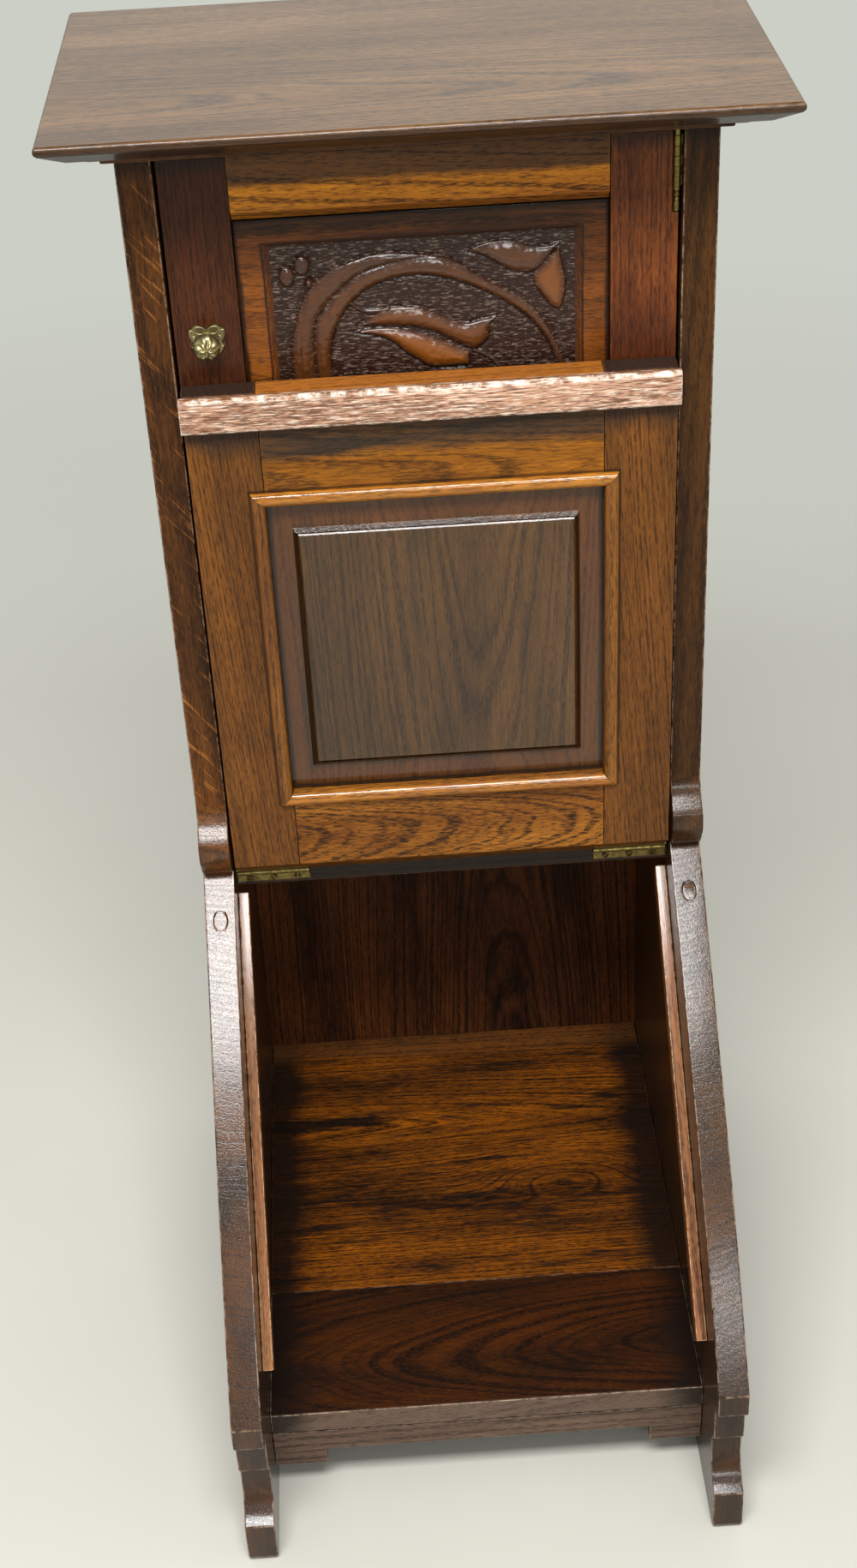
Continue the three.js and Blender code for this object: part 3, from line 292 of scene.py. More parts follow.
        # the slanted edges and the feet are polished by use, and the outer faces are not
        sideways = add("Math", {"operation": "ABSOLUTE"}, {0: (axes, "X")})
        shine = add("MapRange",
                    {"From Min": look["lowEnd"] - 0.015, "From Max": look["lowEnd"],
                     "To Min": look["glossLow"], "To Max": look["gloss"]}, {"Value": (axes, "Z")})
        shine = add("MapRange",
                    {"From Min": look["outside"] - 1.4 * mm, "From Max": look["outside"] - 0.2 * mm,
                     "To Max": look["gloss"]}, {"Value": sideways, "To Min": shine})
    if look["ground"]:
        shine = add("MapRange", {"To Min": 0.5 * look["gloss"], "To Max": look["gloss"]},
                    {"Value": (raised, "Fac")})
    if shine:
        material.node_tree.links.new(shine.outputs[0], shader.inputs["Coat Weight"])
    add("OutputMaterial", {}, {"Surface": shader})
    return material


print("oak")
# near black, laid along the sides of the coal floor
nearBlack = "#170e09"
paintedShadeUnderTop = ("Z", 0.893, 0.903, 0.7, "#1d1410")   # painted shadow cast by the top board's overhang
underBar = ("Z", 0.720, 0.728, 0.8, "#2e241c")   # darker under the lip bar
# middle and half size of the opening in each frame and of the field on each panel, in metres
flapOpening = ((0, 0, 0.581), (0.1065, 1, 0.1095))
flapField = ((0, 0, 0.581), (0.0891, 1, 0.088))
doorOpening = ((0, 0, 0.796), (0.112, 1, 0.0695))
carvedField = ((0, 0, 0.796), (0.0954, 1, 0.054))
# painted shade in the crease along the flap's beads
besideBeads = (*flapOpening, 9.6, 1.3, 0.7, "#1c0f08")
oakLooks = {
    # quarter-sawn, stained and waxed: straight grain crossed by pale slanting flecks, with painted shadow
    # under the top board and painted shade darkening toward the floor
    "quarter_sawn_side_oak": {
        "heart": (0.0, 0.9, 0.0), "turn": (0.5, 0, 0), "low": "#2c1706", "high": "#653a12", "fleck": 0.6,
        "gloss": 0.15, "glossLow": 0.8, "ridge": 0.05, "relief": 0.75, "rubGlintTone": "#a88c74", "rubGlintShare": 0.8,
        "borders": [paintedShadeUnderTop, ("Z", 0.34, 0.18, 0.5, "#1c120c")],
    },
    # its plainer mate: straight dark grain, and low edges bright with use, with the same painted shadow
    # under the top board and painted shade toward the floor
    "side_oak": {
        "heart": (0.0, 0.9, 0.0), "turn": (0.3, 0, 0), "low": "#261506", "high": "#503010", "gloss": 0.15,
        "glossLow": 0.6, "ridge": 0.05, "relief": 0.75, "rubGlintTone": "#a88c74", "rubGlintShare": 0.8,
        "borders": [paintedShadeUnderTop, ("Z", 0.34, 0.18, 0.3, "#1c120c")],
    },
    # flat-sawn and French-polished: fine streaks under a cool, even sheen, with painted shade on the edges
    # below the top face
    "sheened_top_oak": {
        "heart": (0, 0.05, 0.86), "turn": (0, 91.5, 0), "ring": 2.2, "ringShare": 0.4, "low": "#4a2f11",
        "high": "#745025", "patch": 0.25, "pores": 0.6, "gloss": 0.6, "polish": 0.22, "ridge": 0.03,
        "rubGlintTone": "#5c3a20", "borders": [("Z", 0.9374, 0.9368, 0.8, "#2e1a0c")],
    },
    # stained moulding: plain brown with a soft gloss
    "cornice_oak": {
        "heart": (0, 0.4, 0.9), "turn": (0, 90, 0), "ringShare": 0.4, "low": "#3a2211", "high": "#6a4424",
    },
    # stained light: golden, with dark pore dashes, and a painted shadow of the top board along the top
    "orange_rail_oak": {
        "heart": (0, 0.13, 0.84), "turn": (0, 90, 3), "low": "#8e4c0c", "high": "#d68a20",
        "ringShare": 0.45, "pores": 0.6,
        "borders": [("Z", 0.885, 0.889, 0.85, "#33251b"), ("Z", 0.8715, 0.870, 0.6, "#4a2408")],
    },
    # stained red: red brown, with painted shadow under the top board, and painted darker below where the
    # stile reflects the dark flap instead of the lit room
    "red_stile_oak": {
        "heart": (0.4, 0.3, 0), "turn": (0.6, 0, 0), "ring": 2.6, "low": "#4a210c", "high": "#7e441c",
        "borders": [paintedShadeUnderTop, ("Z", 0.82, 0.78, 0.7, "#3a1504")],
    },
    # the same stain laid thicker: nearly black brown, with painted shadow under the top board
    "dark_stile_oak": {
        "heart": (-0.5, 0.3, 0), "turn": (0.6, 0, 0), "ring": 2.6, "low": "#261005", "high": "#4c250e",
        "borders": [paintedShadeUnderTop],
    },
    # stained brown: fine upright dashes, painted shade beside the beads, and darker under the lip bar
    "brown_flap_stile_oak": {
        "heart": (0.6, 0.2, 0), "turn": (0.8, -4, 0), "ring": 2.4, "low": "#402409", "high": "#744515",
        "ringShare": 0.35, "lines": [besideBeads],
        "borders": [("Z", 0.722, 0.735, 0.8, "#2e2016"), ("Z", 0.7650, 0.7658, 0.9, "#2e2019")],
    },
    # flat-sawn and stained light: amber with bold dark loops, and painted shade beside the beads
    "flap_rail_oak": {
        "heart": (0.05, 0.11, 0.43), "turn": (0, 90, 4), "ring": 1.9, "low": "#643509", "high": "#a0641d",
        "ringShare": 0.4, "pores": 0.8, "patch": 0.4, "patchShare": 0.62, "lines": [besideBeads],
    },
    # the same, with black stain in patches, painted shade beside the beads, and darker under the lip bar
    "flap_end_rail_oak": {
        "heart": (0.1, 0.1, 0.70), "turn": (0, 90, 2.5), "ring": 3.4, "low": "#643806", "high": "#a66612",
        "ringShare": 0.4, "patch": 0.9, "patchShare": 0.535,
        "borders": [underBar, ("Z", 0.7650, 0.7658, 0.9, "#9c5c1e")], "lines": [besideBeads],
    },
    # polished bead: gold, with a crisp line of light
    "golden_bead_oak": {
        "heart": (0, 0.4, 0.5), "turn": (0, 90, 0), "gloss": 1.0, "polish": 0.1, "low": "#84480a",
        "high": "#bd7c1e", "patch": 0.35,
    },
    # the upright beads: browner and duller
    "side_bead_oak": {
        "heart": (0.4, 0.4, 0.5), "turn": (0, 0, 0), "gloss": 0.4, "low": "#58300e", "high": "#8c581a",
        "patch": 0.5,
    },
    # flat-sawn and polished: tall grey-brown arches under a wet gloss, a redder margin, and painted shade
    # in the corners round the field and the opening
    "fielded_panel_oak": {
        "heart": (0.03, 0.10, 0.4), "turn": (3.5, 0, 0), "ring": 4.5, "ringShare": 0.45, "wander": 9,
        "low": "#32200b", "high": "#573918", "pores": 0.35, "patch": 0.35, "patchTone": "#241c12",
        "patchShare": 0.56, "gloss": 0.9, "polish": 0.08, "ridge": 0.03,
        "lines": [(*flapField, 10, 11, 0.45, "#5e2f12"), (*flapField, 0.8, 1.3, 0.85, "#240c04"),
                  (*flapOpening, -1.5, 2.4, 0.85, "#190d06")],
    },
    # the carved panel's rim: red brown with painted shade in its corners, round the sunk field and along
    # its top under the rail
    "carved_oak": {
        "heart": (0, 0.4, 0.75), "turn": (0, 90, 0.5), "low": "#421f07", "high": "#7c4412", "gloss": 0.3,
        "patch": 0.6, "patchTone": "#1c170e", "borders": [("Z", 0.853, 0.864, 0.6, "#1f1a10")],
        "lines": [(*doorOpening, -1.0, 2.6, 0.9, "#150b06"), (*carvedField, 0.2, 1.0, 0.85, "#150b06"),
                  (*carvedField, -3, 5, 0.6, "#2a120a"), (*carvedField, -5.2, 1.2, 0.85, "#150b06")],
    },
    # the carving, waxed: dark struck ground with painted glints, forms darkened toward their feet with
    # painted shade, and broad soft lights from the polish
    "tooled_ground_oak": {
        "heart": (0, 0.4, 0.75), "turn": (0, 90, 0.5), "ringShare": 0.45, "ring": 1.6, "low": "#241105",
        "high": "#48250c", "gloss": 1.0, "polish": 0.14, "ground": "#241008", "pores": 0.3, "patch": 0.4,
    },
    # floor worn by coal: amber with black patches, black along the sides
    "coal_floor_oak": {
        "heart": (0.10, 0.11, 0.055), "turn": (0, 94, 0), "ringShare": 0.82, "wander": 10,
        "low": "#200d02", "high": "#904e09", "patch": 0.95, "patchShare": 0.53, "pores": 0.7,
        "patchTone": "#120d0a", "knots": [((0.075, 0.045, 0.083), 42)], "gloss": 0.3,
        "borders": [("X", 0.122, 0.138, 0.9, nearBlack), ("X", -0.122, -0.138, 0.9, nearBlack),
                    ("Y", 0.186, 0.202, 0.4, "#7a4c24")],
    },
    # its front board: nearly black arches, and a pale worn edge
    "coal_floor_front_oak": {
        "heart": (0.02, -0.135, 0.045), "turn": (0, 80, 0), "ring": 6.0, "ringShare": 0.8, "wander": 8,
        "low": "#180a02", "high": "#482206", "rubGlintTone": "#b09884", "rubGlintShare": 0.9,
        "borders": [("Y", -0.1792, -0.1804, 0.85, "#6a5648"), ("X", 0.12, 0.145, 0.85, nearBlack),
                    ("X", -0.12, -0.145, 0.85, nearBlack)],
    },
    # dry wood without polish: grey brown and dusty
    "dusty_rail_oak": {
        "heart": (0, 0.4, 0.3), "turn": (0, 90, 0.6), "low": "#4c392c", "high": "#70594a",
        "rubGlintTone": "#b09884", "rubGlintShare": 0.9,
    },
    # panels stained inside and left dull outside: nearly black inside, darkest toward the top with soot
    # and painted shadow, and grey brown behind
    "dark_back_oak": {
        "heart": (0.05, 0.16, 0.3), "turn": (3, 0, 0), "ring": 3.6, "polish": 0.3, "wander": 9,
        "low": "#220f05", "high": "#643616", "ringShare": 0.8,
        "borders": [("Z", 0.22, 0.36, 0.7, "#0e0704"), ("Y", 0.2215, 0.2225, 0.85, "#5a4432")],
    },
    # worn to bare wood: pale, ridged and dry, with painted glints on the ridge tops and dark hollows
    "worn_bar_oak": {
        "heart": (0, 0.5, 0.76), "turn": (0, 90, 0.4), "gloss": 0.2, "polish": 0.3, "ring": 2.2,
        "rough": 0.6, "relief": 1.0, "low": "#a07458", "high": "#cca288", "ringShare": 0.2,
        "pore": "#543422", "pores": 0.7, "patch": 0.0, "ripple": 950.0, "ridge": 0.15, "ridgeShare": 0.75,
        "rubGlintTone": "#f0dfcd", "rubGlintShare": 0.9,
        "borders": [("Z", 0.7650, 0.7658, 0.9, "#80502a"), ("Z", 0.7456, 0.7442, 0.8, "#3a2418")],
    },
    # rubbed by the flap: warm and shiny, with pale arrises
    "strip_oak": {
        "heart": (0.4, 0.3, 0), "turn": (-46, 0, 0), "ringShare": 0.4, "low": "#6a381a", "high": "#a06a3e",
        "gloss": 0.8, "rubGlintTone": "#dcb890", "rubGlintShare": 1.0,
    },
    # kept clean behind the raised flap: even brown, dark at its foot
    "front_board_oak": {
        "heart": (0.3, 0.4, 0.6), "turn": (0, 90, 0.8), "low": "#402409", "high": "#744515",
        "ringShare": 0.35, "borders": [("Z", 0.402, 0.396, 0.9, "#1e1a17")],
    },
}
oaks = {name: oak(name, look) for name, look in oakLooks.items()}


# ---- brass: cast, drawn and turned hardware, brown in the hollows and bright where hands touch it
def brass(name, look):
    material = bpy.data.materials.new(name)
    add = startTree(material)
    place = (add("TexCoord"), "Object")
    cloud = add("TexNoise", {"Scale": 260.0, "Detail": 5.0, "Roughness": 0.65}, {"Vector": place})
    grit = add("TexNoise", {"Scale": 1800.0, "Detail": 2.0}, {"Vector": place})
    tarnish = add("MapRange", {"From Min": 0.35, "From Max": 0.6}, {"Value": cloud})
    colour = add("Mix", {"data_type": "RGBA", 6: look["tarnish"], 7: look["metal"]}, {0: tarnish})
    touched = add("Attribute", {"attribute_name": "touched"})
    colour = add("Mix", {"data_type": "RGBA", 7: look["bright"]}, {0: (touched, "Fac"), 6: colour})
    rough = add("MapRange", {"To Min": look["rough"] + 0.12, "To Max": look["rough"] - 0.06},
                {"Value": tarnish})
    bump = add("Bump", {"Strength": 0.25, "Distance": 0.15 * mm}, {"Height": grit})
    shader = add("BsdfPrincipled", {"Metallic": 1.0},
                 {"Base Color": colour, "Roughness": rough, "Normal": bump})
    add("OutputMaterial", {}, {"Surface": shader})
    return material


print("brass")
# drawn leaf, dulled: even brown yellow with a soft shine
agedBrass = brass("dulled_drawn_brass",
                  {"tarnish": "#6a5c34", "metal": "#8a7a48", "bright": "#b8a878", "rough": 0.38})
# casting that hands keep bright: brown hollows and pale gold tops
castBrass = brass("handled_cast_brass",
                  {"tarnish": "#6a5e40", "metal": "#9e9268", "bright": "#c4b98e", "rough": 0.42})
# turned screw head: dark, with a dull gleam
darkBrass = brass("dark_turned_brass",
                  {"tarnish": "#2c2414", "metal": "#5c4e2e", "bright": "#7a6a40", "rough": 0.45})


softening = {
    "sharp": 32,   # degrees, edges sharper than this are rounded
    "least": 2.2,  # mm, and longer than this: holes and small mouldings stay crisp
    "smooth": 35,  # degrees, edges flatter than this are shaded smooth
}


def softened(node, material, width, body, slot, segments=2):
    # a copy of a board with its flat faces whole again and its arrises rounded off by handling
    bpy.ops.object.select_all(action="DESELECT")
    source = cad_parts[node]
    piece = source.copy()
    piece.data = source.data.copy()
    for key in list(piece.keys()):
        del piece[key]
    bpy.context.scene.collection.objects.link(piece)
    piece.parent = None
    piece.name = node + "_finished"
    piece.data.name = piece.name
    piece.select_set(True)
    bpy.context.view_layer.objects.active = piece
    if piece.data.has_custom_normals:
        bpy.ops.mesh.customdata_custom_splitnormals_clear()
    bpy.ops.object.mode_set(mode="EDIT")
    bpy.ops.mesh.select_all(action="SELECT")
    bpy.ops.mesh.remove_doubles(threshold=0.01 * mm)
    bpy.ops.mesh.dissolve_limited(angle_limit=math.radians(0.5))
    bpy.ops.object.mode_set(mode="OBJECT")
    shell = bmesh.new()
    shell.from_mesh(piece.data)
    weight = shell.edges.layers.float.new("bevel_weight_edge")
    for edge in shell.edges:
        sharp = edge.calc_face_angle(0) > math.radians(softening["sharp"])
        edge[weight] = float(sharp and edge.calc_length() > softening["least"] * mm)
    shell.to_mesh(piece.data)
    shell.free()
    bevel(piece, width, segments, "WEIGHT")
    # the middle line of each rounding is marked as arris
    mesh = piece.data
    lengths = [max((mesh.vertices[a].co - mesh.vertices[b].co).length for a, b in face.edge_keys)
               for face in mesh.polygons]
    narrow = [face.area < 1.2 * width * mm * lengths[face.index] for face in mesh.polygons]
    marks = [1.0] * len(mesh.vertices)
    for face in mesh.polygons:
        for corner in face.vertices:
            marks[corner] = min(marks[corner], float(narrow[face.index]))
    mark(piece, "arris", marks)
    bpy.ops.object.shade_smooth_by_angle(angle=math.radians(softening["smooth"]))
    flat = piece.modifiers.new("flat", "WEIGHTED_NORMAL")
    flat.keep_sharp = True
    bpy.ops.object.modifier_apply(modifier="flat")
    piece.data.materials.clear()
    piece.data.materials.append(material)
    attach(piece, body)
    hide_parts(node)
    return piece


print("boards")
# by body: the pieces, their oak, how many mm their arrises are rounded by, their slot, and the steps of
# that rounding where they aren't two
boards = {
    "carcase": {
        "side_board_left": ("quarter_sawn_side_oak", 1.2, "dark_oak"),
        "side_board_right": ("side_oak", 1.2, "dark_oak"),
        "dowel_plug_left dowel_plug_right": ("quarter_sawn_side_oak", 0.3, "dark_oak"),
        "top_board": ("sheened_top_oak", 0.8, "top_oak"),
        "cornice_front cornice_left cornice_right": ("cornice_oak", 0.5, "dark_oak"),
        "head_rail back_panel_lower back_panel_upper": ("dark_back_oak", 0.6, "dark_oak"),
        "cupboard_floor": ("cornice_oak", 0.6, "dark_oak"),
        "coal_floor_front": ("coal_floor_front_oak", 0.8, "floor_oak"),
        "coal_floor_back": ("coal_floor_oak", 0.8, "floor_oak"),
        "front_rail": ("dusty_rail_oak", 1.0, "dark_oak"),
        "bearer_left bearer_right": ("dusty_rail_oak", 0.8, "dark_oak"),
        "stop_strip_left stop_strip_right": ("strip_oak", 0.9, "warm_oak"),
        "front_board": ("front_board_oak", 0.8, "dark_oak"),
    },
    "flap": {
        "flap_stile_left flap_stile_right": ("brown_flap_stile_oak", 0.8, "warm_oak"),
        "flap_hinge_rail": ("flap_rail_oak", 0.8, "warm_oak"),
        "flap_end_rail": ("flap_end_rail_oak", 0.8, "warm_oak"),
        "flap_panel": ("fielded_panel_oak", 2.2, "panel_oak", 1),
        "flap_bead_left flap_bead_right": ("side_bead_oak", 0.3, "warm_oak"),
        "flap_bead_end flap_bead_hinge": ("golden_bead_oak", 0.3, "warm_oak"),
        "lip_bar": ("worn_bar_oak", 1.2, "worn_oak"),
    },
    "door": {
        "door_stile_left": ("dark_stile_oak", 0.8, "red_oak"),
        "door_stile_right": ("red_stile_oak", 0.8, "red_oak"),
        "door_top_rail door_bottom_rail": ("orange_rail_oak", 0.8, "warm_oak"),
    },
}
for body, pieces in boards.items():
    for nodes, (wood, width, slot, *segments) in pieces.items():
        for node in nodes.split():
            softened(node, oaks[wood], width, body, slot, *segments)


# ---- carved panel: a sunk field with sloping sides, and on its ground a band that arches over two
# leaves, with a flower and berries beside it
print("carved panel")
carving = {
    "tongue": 9.5,           # mm that the panel reaches into the grooves of its frame
    "tongueFace": 3.0,       # mm from the panel's face to the face of that tongue
    "margin": 15.0,          # mm from the edge of the face to the sunk field, above and below
    "sunk": 3.2,             # mm, depth of the field
    "slope": (6.0, 3.4),     # mm, width of its sloping sides
    "below": 1.5,            # mm that the panel is cut below the ground, where the relief fills it
    "field": (95.4, 54.0),   # mm, half width and half height
    "grid": 0.55,            # mm between the points of the relief
    "lift": 3.2,             # mm, height of the carving
    "trench": (1.3, 0.7),    # mm, width and depth of the cut round each form
    "tooling": 0.35,         # mm, depth of the tool marks on the ground
    "facets": 0.3,           # mm, depth of the gouge cuts left on the forms
    "rims": (3.5, 0.12),     # mm that the band rounds off from its rims, and how much that counts
    "stem": (1.3, 0.45),     # mm, half width of a stem, and its height as a share of the lift
    "score": (0.9, 0.6),     # mm, half width and depth of a cut line
}


def box(name, low, high):
    bpy.ops.object.select_all(action="DESELECT")
    bpy.ops.mesh.primitive_cube_add(size=1, location=[(a + b) / 2 for a, b in zip(low, high)],
                                    scale=[b - a for a, b in zip(low, high)])
    piece = bpy.context.object
    bpy.ops.object.transform_apply()
    piece.name = piece.data.name = name
    return piece


def pick(piece, test):
    # goes into edit mode with the faces selected that pass the test
    bpy.ops.object.mode_set(mode="EDIT")
    bpy.ops.mesh.select_mode(type="FACE")
    bpy.ops.mesh.select_all(action="DESELECT")
    bpy.ops.object.mode_set(mode="OBJECT")
    for face in piece.data.polygons:
        face.select = test(face)
    bpy.ops.object.mode_set(mode="EDIT")


def extrude(x, y, z):
    bpy.ops.mesh.extrude_region_move(TRANSFORM_OT_translate={"value": (x * mm, y * mm, z * mm)})


low, high = [list(corner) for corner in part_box("door_panel")]
panelFace = low[1]
panelMiddle = (low[2] + high[2]) / 2
low[1] += carving["tongueFace"] * mm
panel = box("door_panel_finished", low, high)
pick(panel, lambda face: face.normal.y < -0.9)
bpy.ops.mesh.inset(thickness=carving["tongue"] * mm)
extrude(0, -carving["tongueFace"], 0)
bpy.ops.mesh.inset(thickness=carving["margin"] * mm)
fieldPlace = (0, panelFace, panelMiddle)
halfX, halfZ = carving["field"]
insetX = high[0] / mm - carving["tongue"] - carving["margin"]
bpy.ops.transform.resize(value=(halfX / insetX, 1, 1), center_override=fieldPlace)
extrude(0, carving["sunk"] + carving["below"], 0)
bpy.ops.transform.resize(value=(1 - carving["slope"][0] / halfX, 1, 1 - carving["slope"][1] / halfZ),
                         center_override=fieldPlace)
bpy.ops.object.mode_set(mode="OBJECT")
bevel(panel, 0.5, 2)
bpy.ops.object.shade_smooth_by_angle(angle=math.radians(35))
panel.data.materials.append(oaks["carved_oak"])
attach(panel, "door")
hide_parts("door_panel")

# outlines of the carving, (right, up) in mm from the middle of the field
bandRidge = [(-68, -54), (-68, -6), (-62, 9), (-49, 23), (-30, 34), (8, 40)]
bandOuter = [(8, 40), (-12, 43), (-36, 42), (-67, 27), (-82, -8), (-83, -54)]
bandInner = [(83, -54), (79, -32), (64, -5), (33, 17), (-3, 28), (-37, 19), (-57, -11), (-56, -54)]
bandTail = [(37, 24), (67, 3), (84, -30), (88, -54)]
forms = [  # edges, how far in mm each form rounds off from its edge, and how amber its polish is
    ([bandRidge, bandOuter], 8.0, 0.1),
    ([bandRidge + bandTail, bandInner], 7.5, 0.15),
    ([[(-41, -2), (-33, 4), (-25, 8), (-14, 9), (-4, 8), (6, 4), (16, -1), (25, -4), (36, -2), (44, -1)],
      [(44, -1), (40, -6), (38, -15), (31, -21), (27, -21), (16, -15), (5, -9), (-7, -5), (-17, -4),
       (-28, -3), (-41, -2)]], 9.0, 0.3),
    ([[(-45, -6), (-36, -4), (-23, -4), (-12, -6), (-2, -9), (12, -15), (19, -19), (26, -23), (26, -32)],
      [(26, -32), (8, -32), (1, -31), (-5, -27), (-13, -21), (-22, -13), (-31, -9), (-45, -6)]], 9.0, 0.7),
    ([[(25, 41), (33, 45), (44, 47), (53, 47), (65, 43), (74, 42), (84, 44)],
      [(84, 44), (79, 39), (75, 33), (67, 26), (58, 26), (51, 28), (42, 34), (33, 39), (25, 41)]],
     10.0, 0.2),
    ([[(82, 41), (84, 31), (86, 19), (85, 8), (82, 0)],
      [(82, 0), (76, 4), (70, 12), (66, 19), (66, 25), (71, 30), (78, 37), (82, 41)]], 10.0, 0.6),
]
berries = [((-72.5, 38.5), (4.8, 6.4)), ((-82, 32), (4.8, 6.6)), ((-69, 27), (2.2, 3.0))]
stems = [[(-46, 14), (-38, 8), (-30, 7), (-22, 8)], [(29, -22), (37, -26), (42, -31), (46, -38)]]
scores = [[(48, 19), (64, 25)], [(27, 2), (40, 13)],
          [(-78, -50), (-76, -3), (-71, 14), (-61, 25), (-47, 35)]]


def smoothLine(points, steps=7):
    # a smooth line through the points
    points = np.array(points, float)
    ends = np.vstack([2 * points[0] - points[1], points, 2 * points[-1] - points[-2]])
    line = []
    for a, b, c, d in zip(ends, ends[1:], ends[2:], ends[3:]):
        for t in np.arange(steps) / steps:
            line.append(0.5 * (2 * b + (c - a) * t + (2 * a - 5 * b + 4 * c - d) * t * t
                               + (3 * b - a - 3 * c + d) * t ** 3))
    return np.array(line + [points[-1]])


def distance(spots, line):
    # of each spot from the line
    near = np.full(len(spots), 1e3)
    for a, b in zip(line, line[1:]):
        run = b - a
        share = np.clip((spots - a) @ run / max(run @ run, 1e-9), 0, 1)
        near = np.minimum(near, np.hypot(*(spots - a - share[:, None] * run).T))
    return near


def within(spots, line):
    # whether each spot lies inside the line, closed
    inside = np.zeros(len(spots), bool)
    for a, b in zip(line, np.roll(line, -1, axis=0)):
        if b[1] != a[1]:
            level = (a[1] > spots[:, 1]) != (b[1] > spots[:, 1])
            inside ^= level & (spots[:, 0] < a[0] + (spots[:, 1] - a[1]) * (b[0] - a[0]) / (b[1] - a[1]))
    return inside


def rounded(near, reach):
    crown = 1 - (1 - np.clip(near / reach, 0, 1)) ** 2
    return 0.25 * np.sqrt(crown) + 0.75 * crown


def carvedHeight(spots):
    # height in mm over the ground at each spot, how much of it is carved form, and how amber it is
    form, amber = np.zeros(len(spots)), np.zeros(len(spots))
    outside = np.full(len(spots), 1e3)
    for edges, reach, tone in forms:
        outline = np.vstack([smoothLine(edge) for edge in edges])
        near, inside = distance(spots, outline), within(spots, outline)
        form = np.maximum(form, np.where(inside, rounded(near, reach), 0))
        amber = np.maximum(amber, np.where(inside, tone, 0))
        outside = np.where(inside, 0, np.minimum(outside, near))
    # the band stands up as one, with a valley between its two rolls
    rims = np.minimum(distance(spots, smoothLine(bandOuter)), distance(spots, smoothLine(bandInner)))
    rims = np.minimum(rims, distance(spots, smoothLine([bandRidge[-1]] + bandTail)))
    inBand = np.zeros(len(spots), bool)
    for edges, _, _ in forms[:2]:
        inBand |= within(spots, np.vstack([smoothLine(edge) for edge in edges]))
    reach, part = carving["rims"]
    form = np.where(inBand, part * rounded(rims, reach) + (1 - part) * form, form)
    for (x, z), (wide, tall) in berries:
        ball = 1 - ((spots[:, 0] - x) / wide) ** 2 - ((spots[:, 1] - z) / tall) ** 2
        form = np.maximum(form, np.sqrt(np.clip(ball, 0, 1)))
        outside = np.where(ball > 0, 0, np.minimum(outside, wide * (np.sqrt(1 - np.minimum(ball, 0)) - 1)))
    thick, tall = carving["stem"]
    for stem in stems:
        near = distance(spots, smoothLine(stem))
        form = np.maximum(form, tall * rounded(np.clip(thick - near, 0, 2), thick))
    facets = np.array([noise.noise((x * 0.3, z * 0.3, 21)) for x, z in spots])
    height = carving["lift"] * form + carving["facets"] * facets * form
    wide, deep = carving["score"]
    for score in scores:
        near = distance(spots, smoothLine(score))
        height -= deep * np.clip(1 - near / wide, 0, 1) * (0.3 + form)
    bare = np.clip(1 - form * 4, 0, 1)
    marks = np.array([noise.noise((x * 0.22, z * 0.9, 3)) + 0.5 * noise.noise((x * 0.5, z * 1.6, 8))
                      for x, z in spots])
    wide, deep = carving["trench"]
    height -= bare * (deep * np.exp(-(outside / wide) ** 2) - carving["tooling"] * marks)
    return height, np.clip(form * 1.2, 0, 1) ** 1.5, amber


groundY = panelFace + carving["sunk"] * mm
reliefHalf = [(half - 0.7 * slope) for half, slope in zip(carving["field"], carving["slope"])]
counts = [int(2 * half / carving["grid"]) for half in reliefHalf]
bpy.ops.object.select_all(action="DESELECT")
bpy.ops.mesh.primitive_grid_add(x_subdivisions=counts[0], y_subdivisions=counts[1], size=2,
                                location=(0, groundY, panelMiddle), rotation=(math.pi / 2, 0, 0))
relief = bpy.context.object
relief.scale = (reliefHalf[0] * mm, reliefHalf[1] * mm, 1)
bpy.ops.object.transform_apply()
relief.name = relief.data.name = "door_panel_carving"
points = np.zeros(3 * len(relief.data.vertices), "f")
relief.data.vertices.foreach_get("co", points)
points = points.reshape(-1, 3)
height, raised, amber = carvedHeight((points[:, [0, 2]] - (0, panelMiddle)) / mm)
points[:, 1] = groundY - height * mm
relief.data.vertices.foreach_set("co", points.ravel())
mark(relief, "raised", raised)
mark(relief, "amber", amber)
# its edge is turned back into the panel and closed
bpy.ops.object.mode_set(mode="EDIT")
bpy.ops.mesh.select_mode(type="EDGE")
bpy.ops.mesh.select_all(action="DESELECT")
bpy.ops.mesh.select_non_manifold()
bpy.ops.mesh.extrude_edges_move(TRANSFORM_OT_translate={"value": (0, 0, 0)})
bpy.ops.transform.resize(value=(1, 0, 1), center_override=(0, groundY + 1.5 * mm, panelMiddle))
bpy.ops.mesh.edge_face_add()
bpy.ops.mesh.select_all(action="SELECT")
bpy.ops.mesh.normals_make_consistent(inside=False)
bpy.ops.object.mode_set(mode="OBJECT")
bpy.ops.object.shade_smooth_by_angle(angle=math.radians(60))
relief.data.materials.append(oaks["tooled_ground_oak"])
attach(relief, "door")
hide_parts("door_panel")

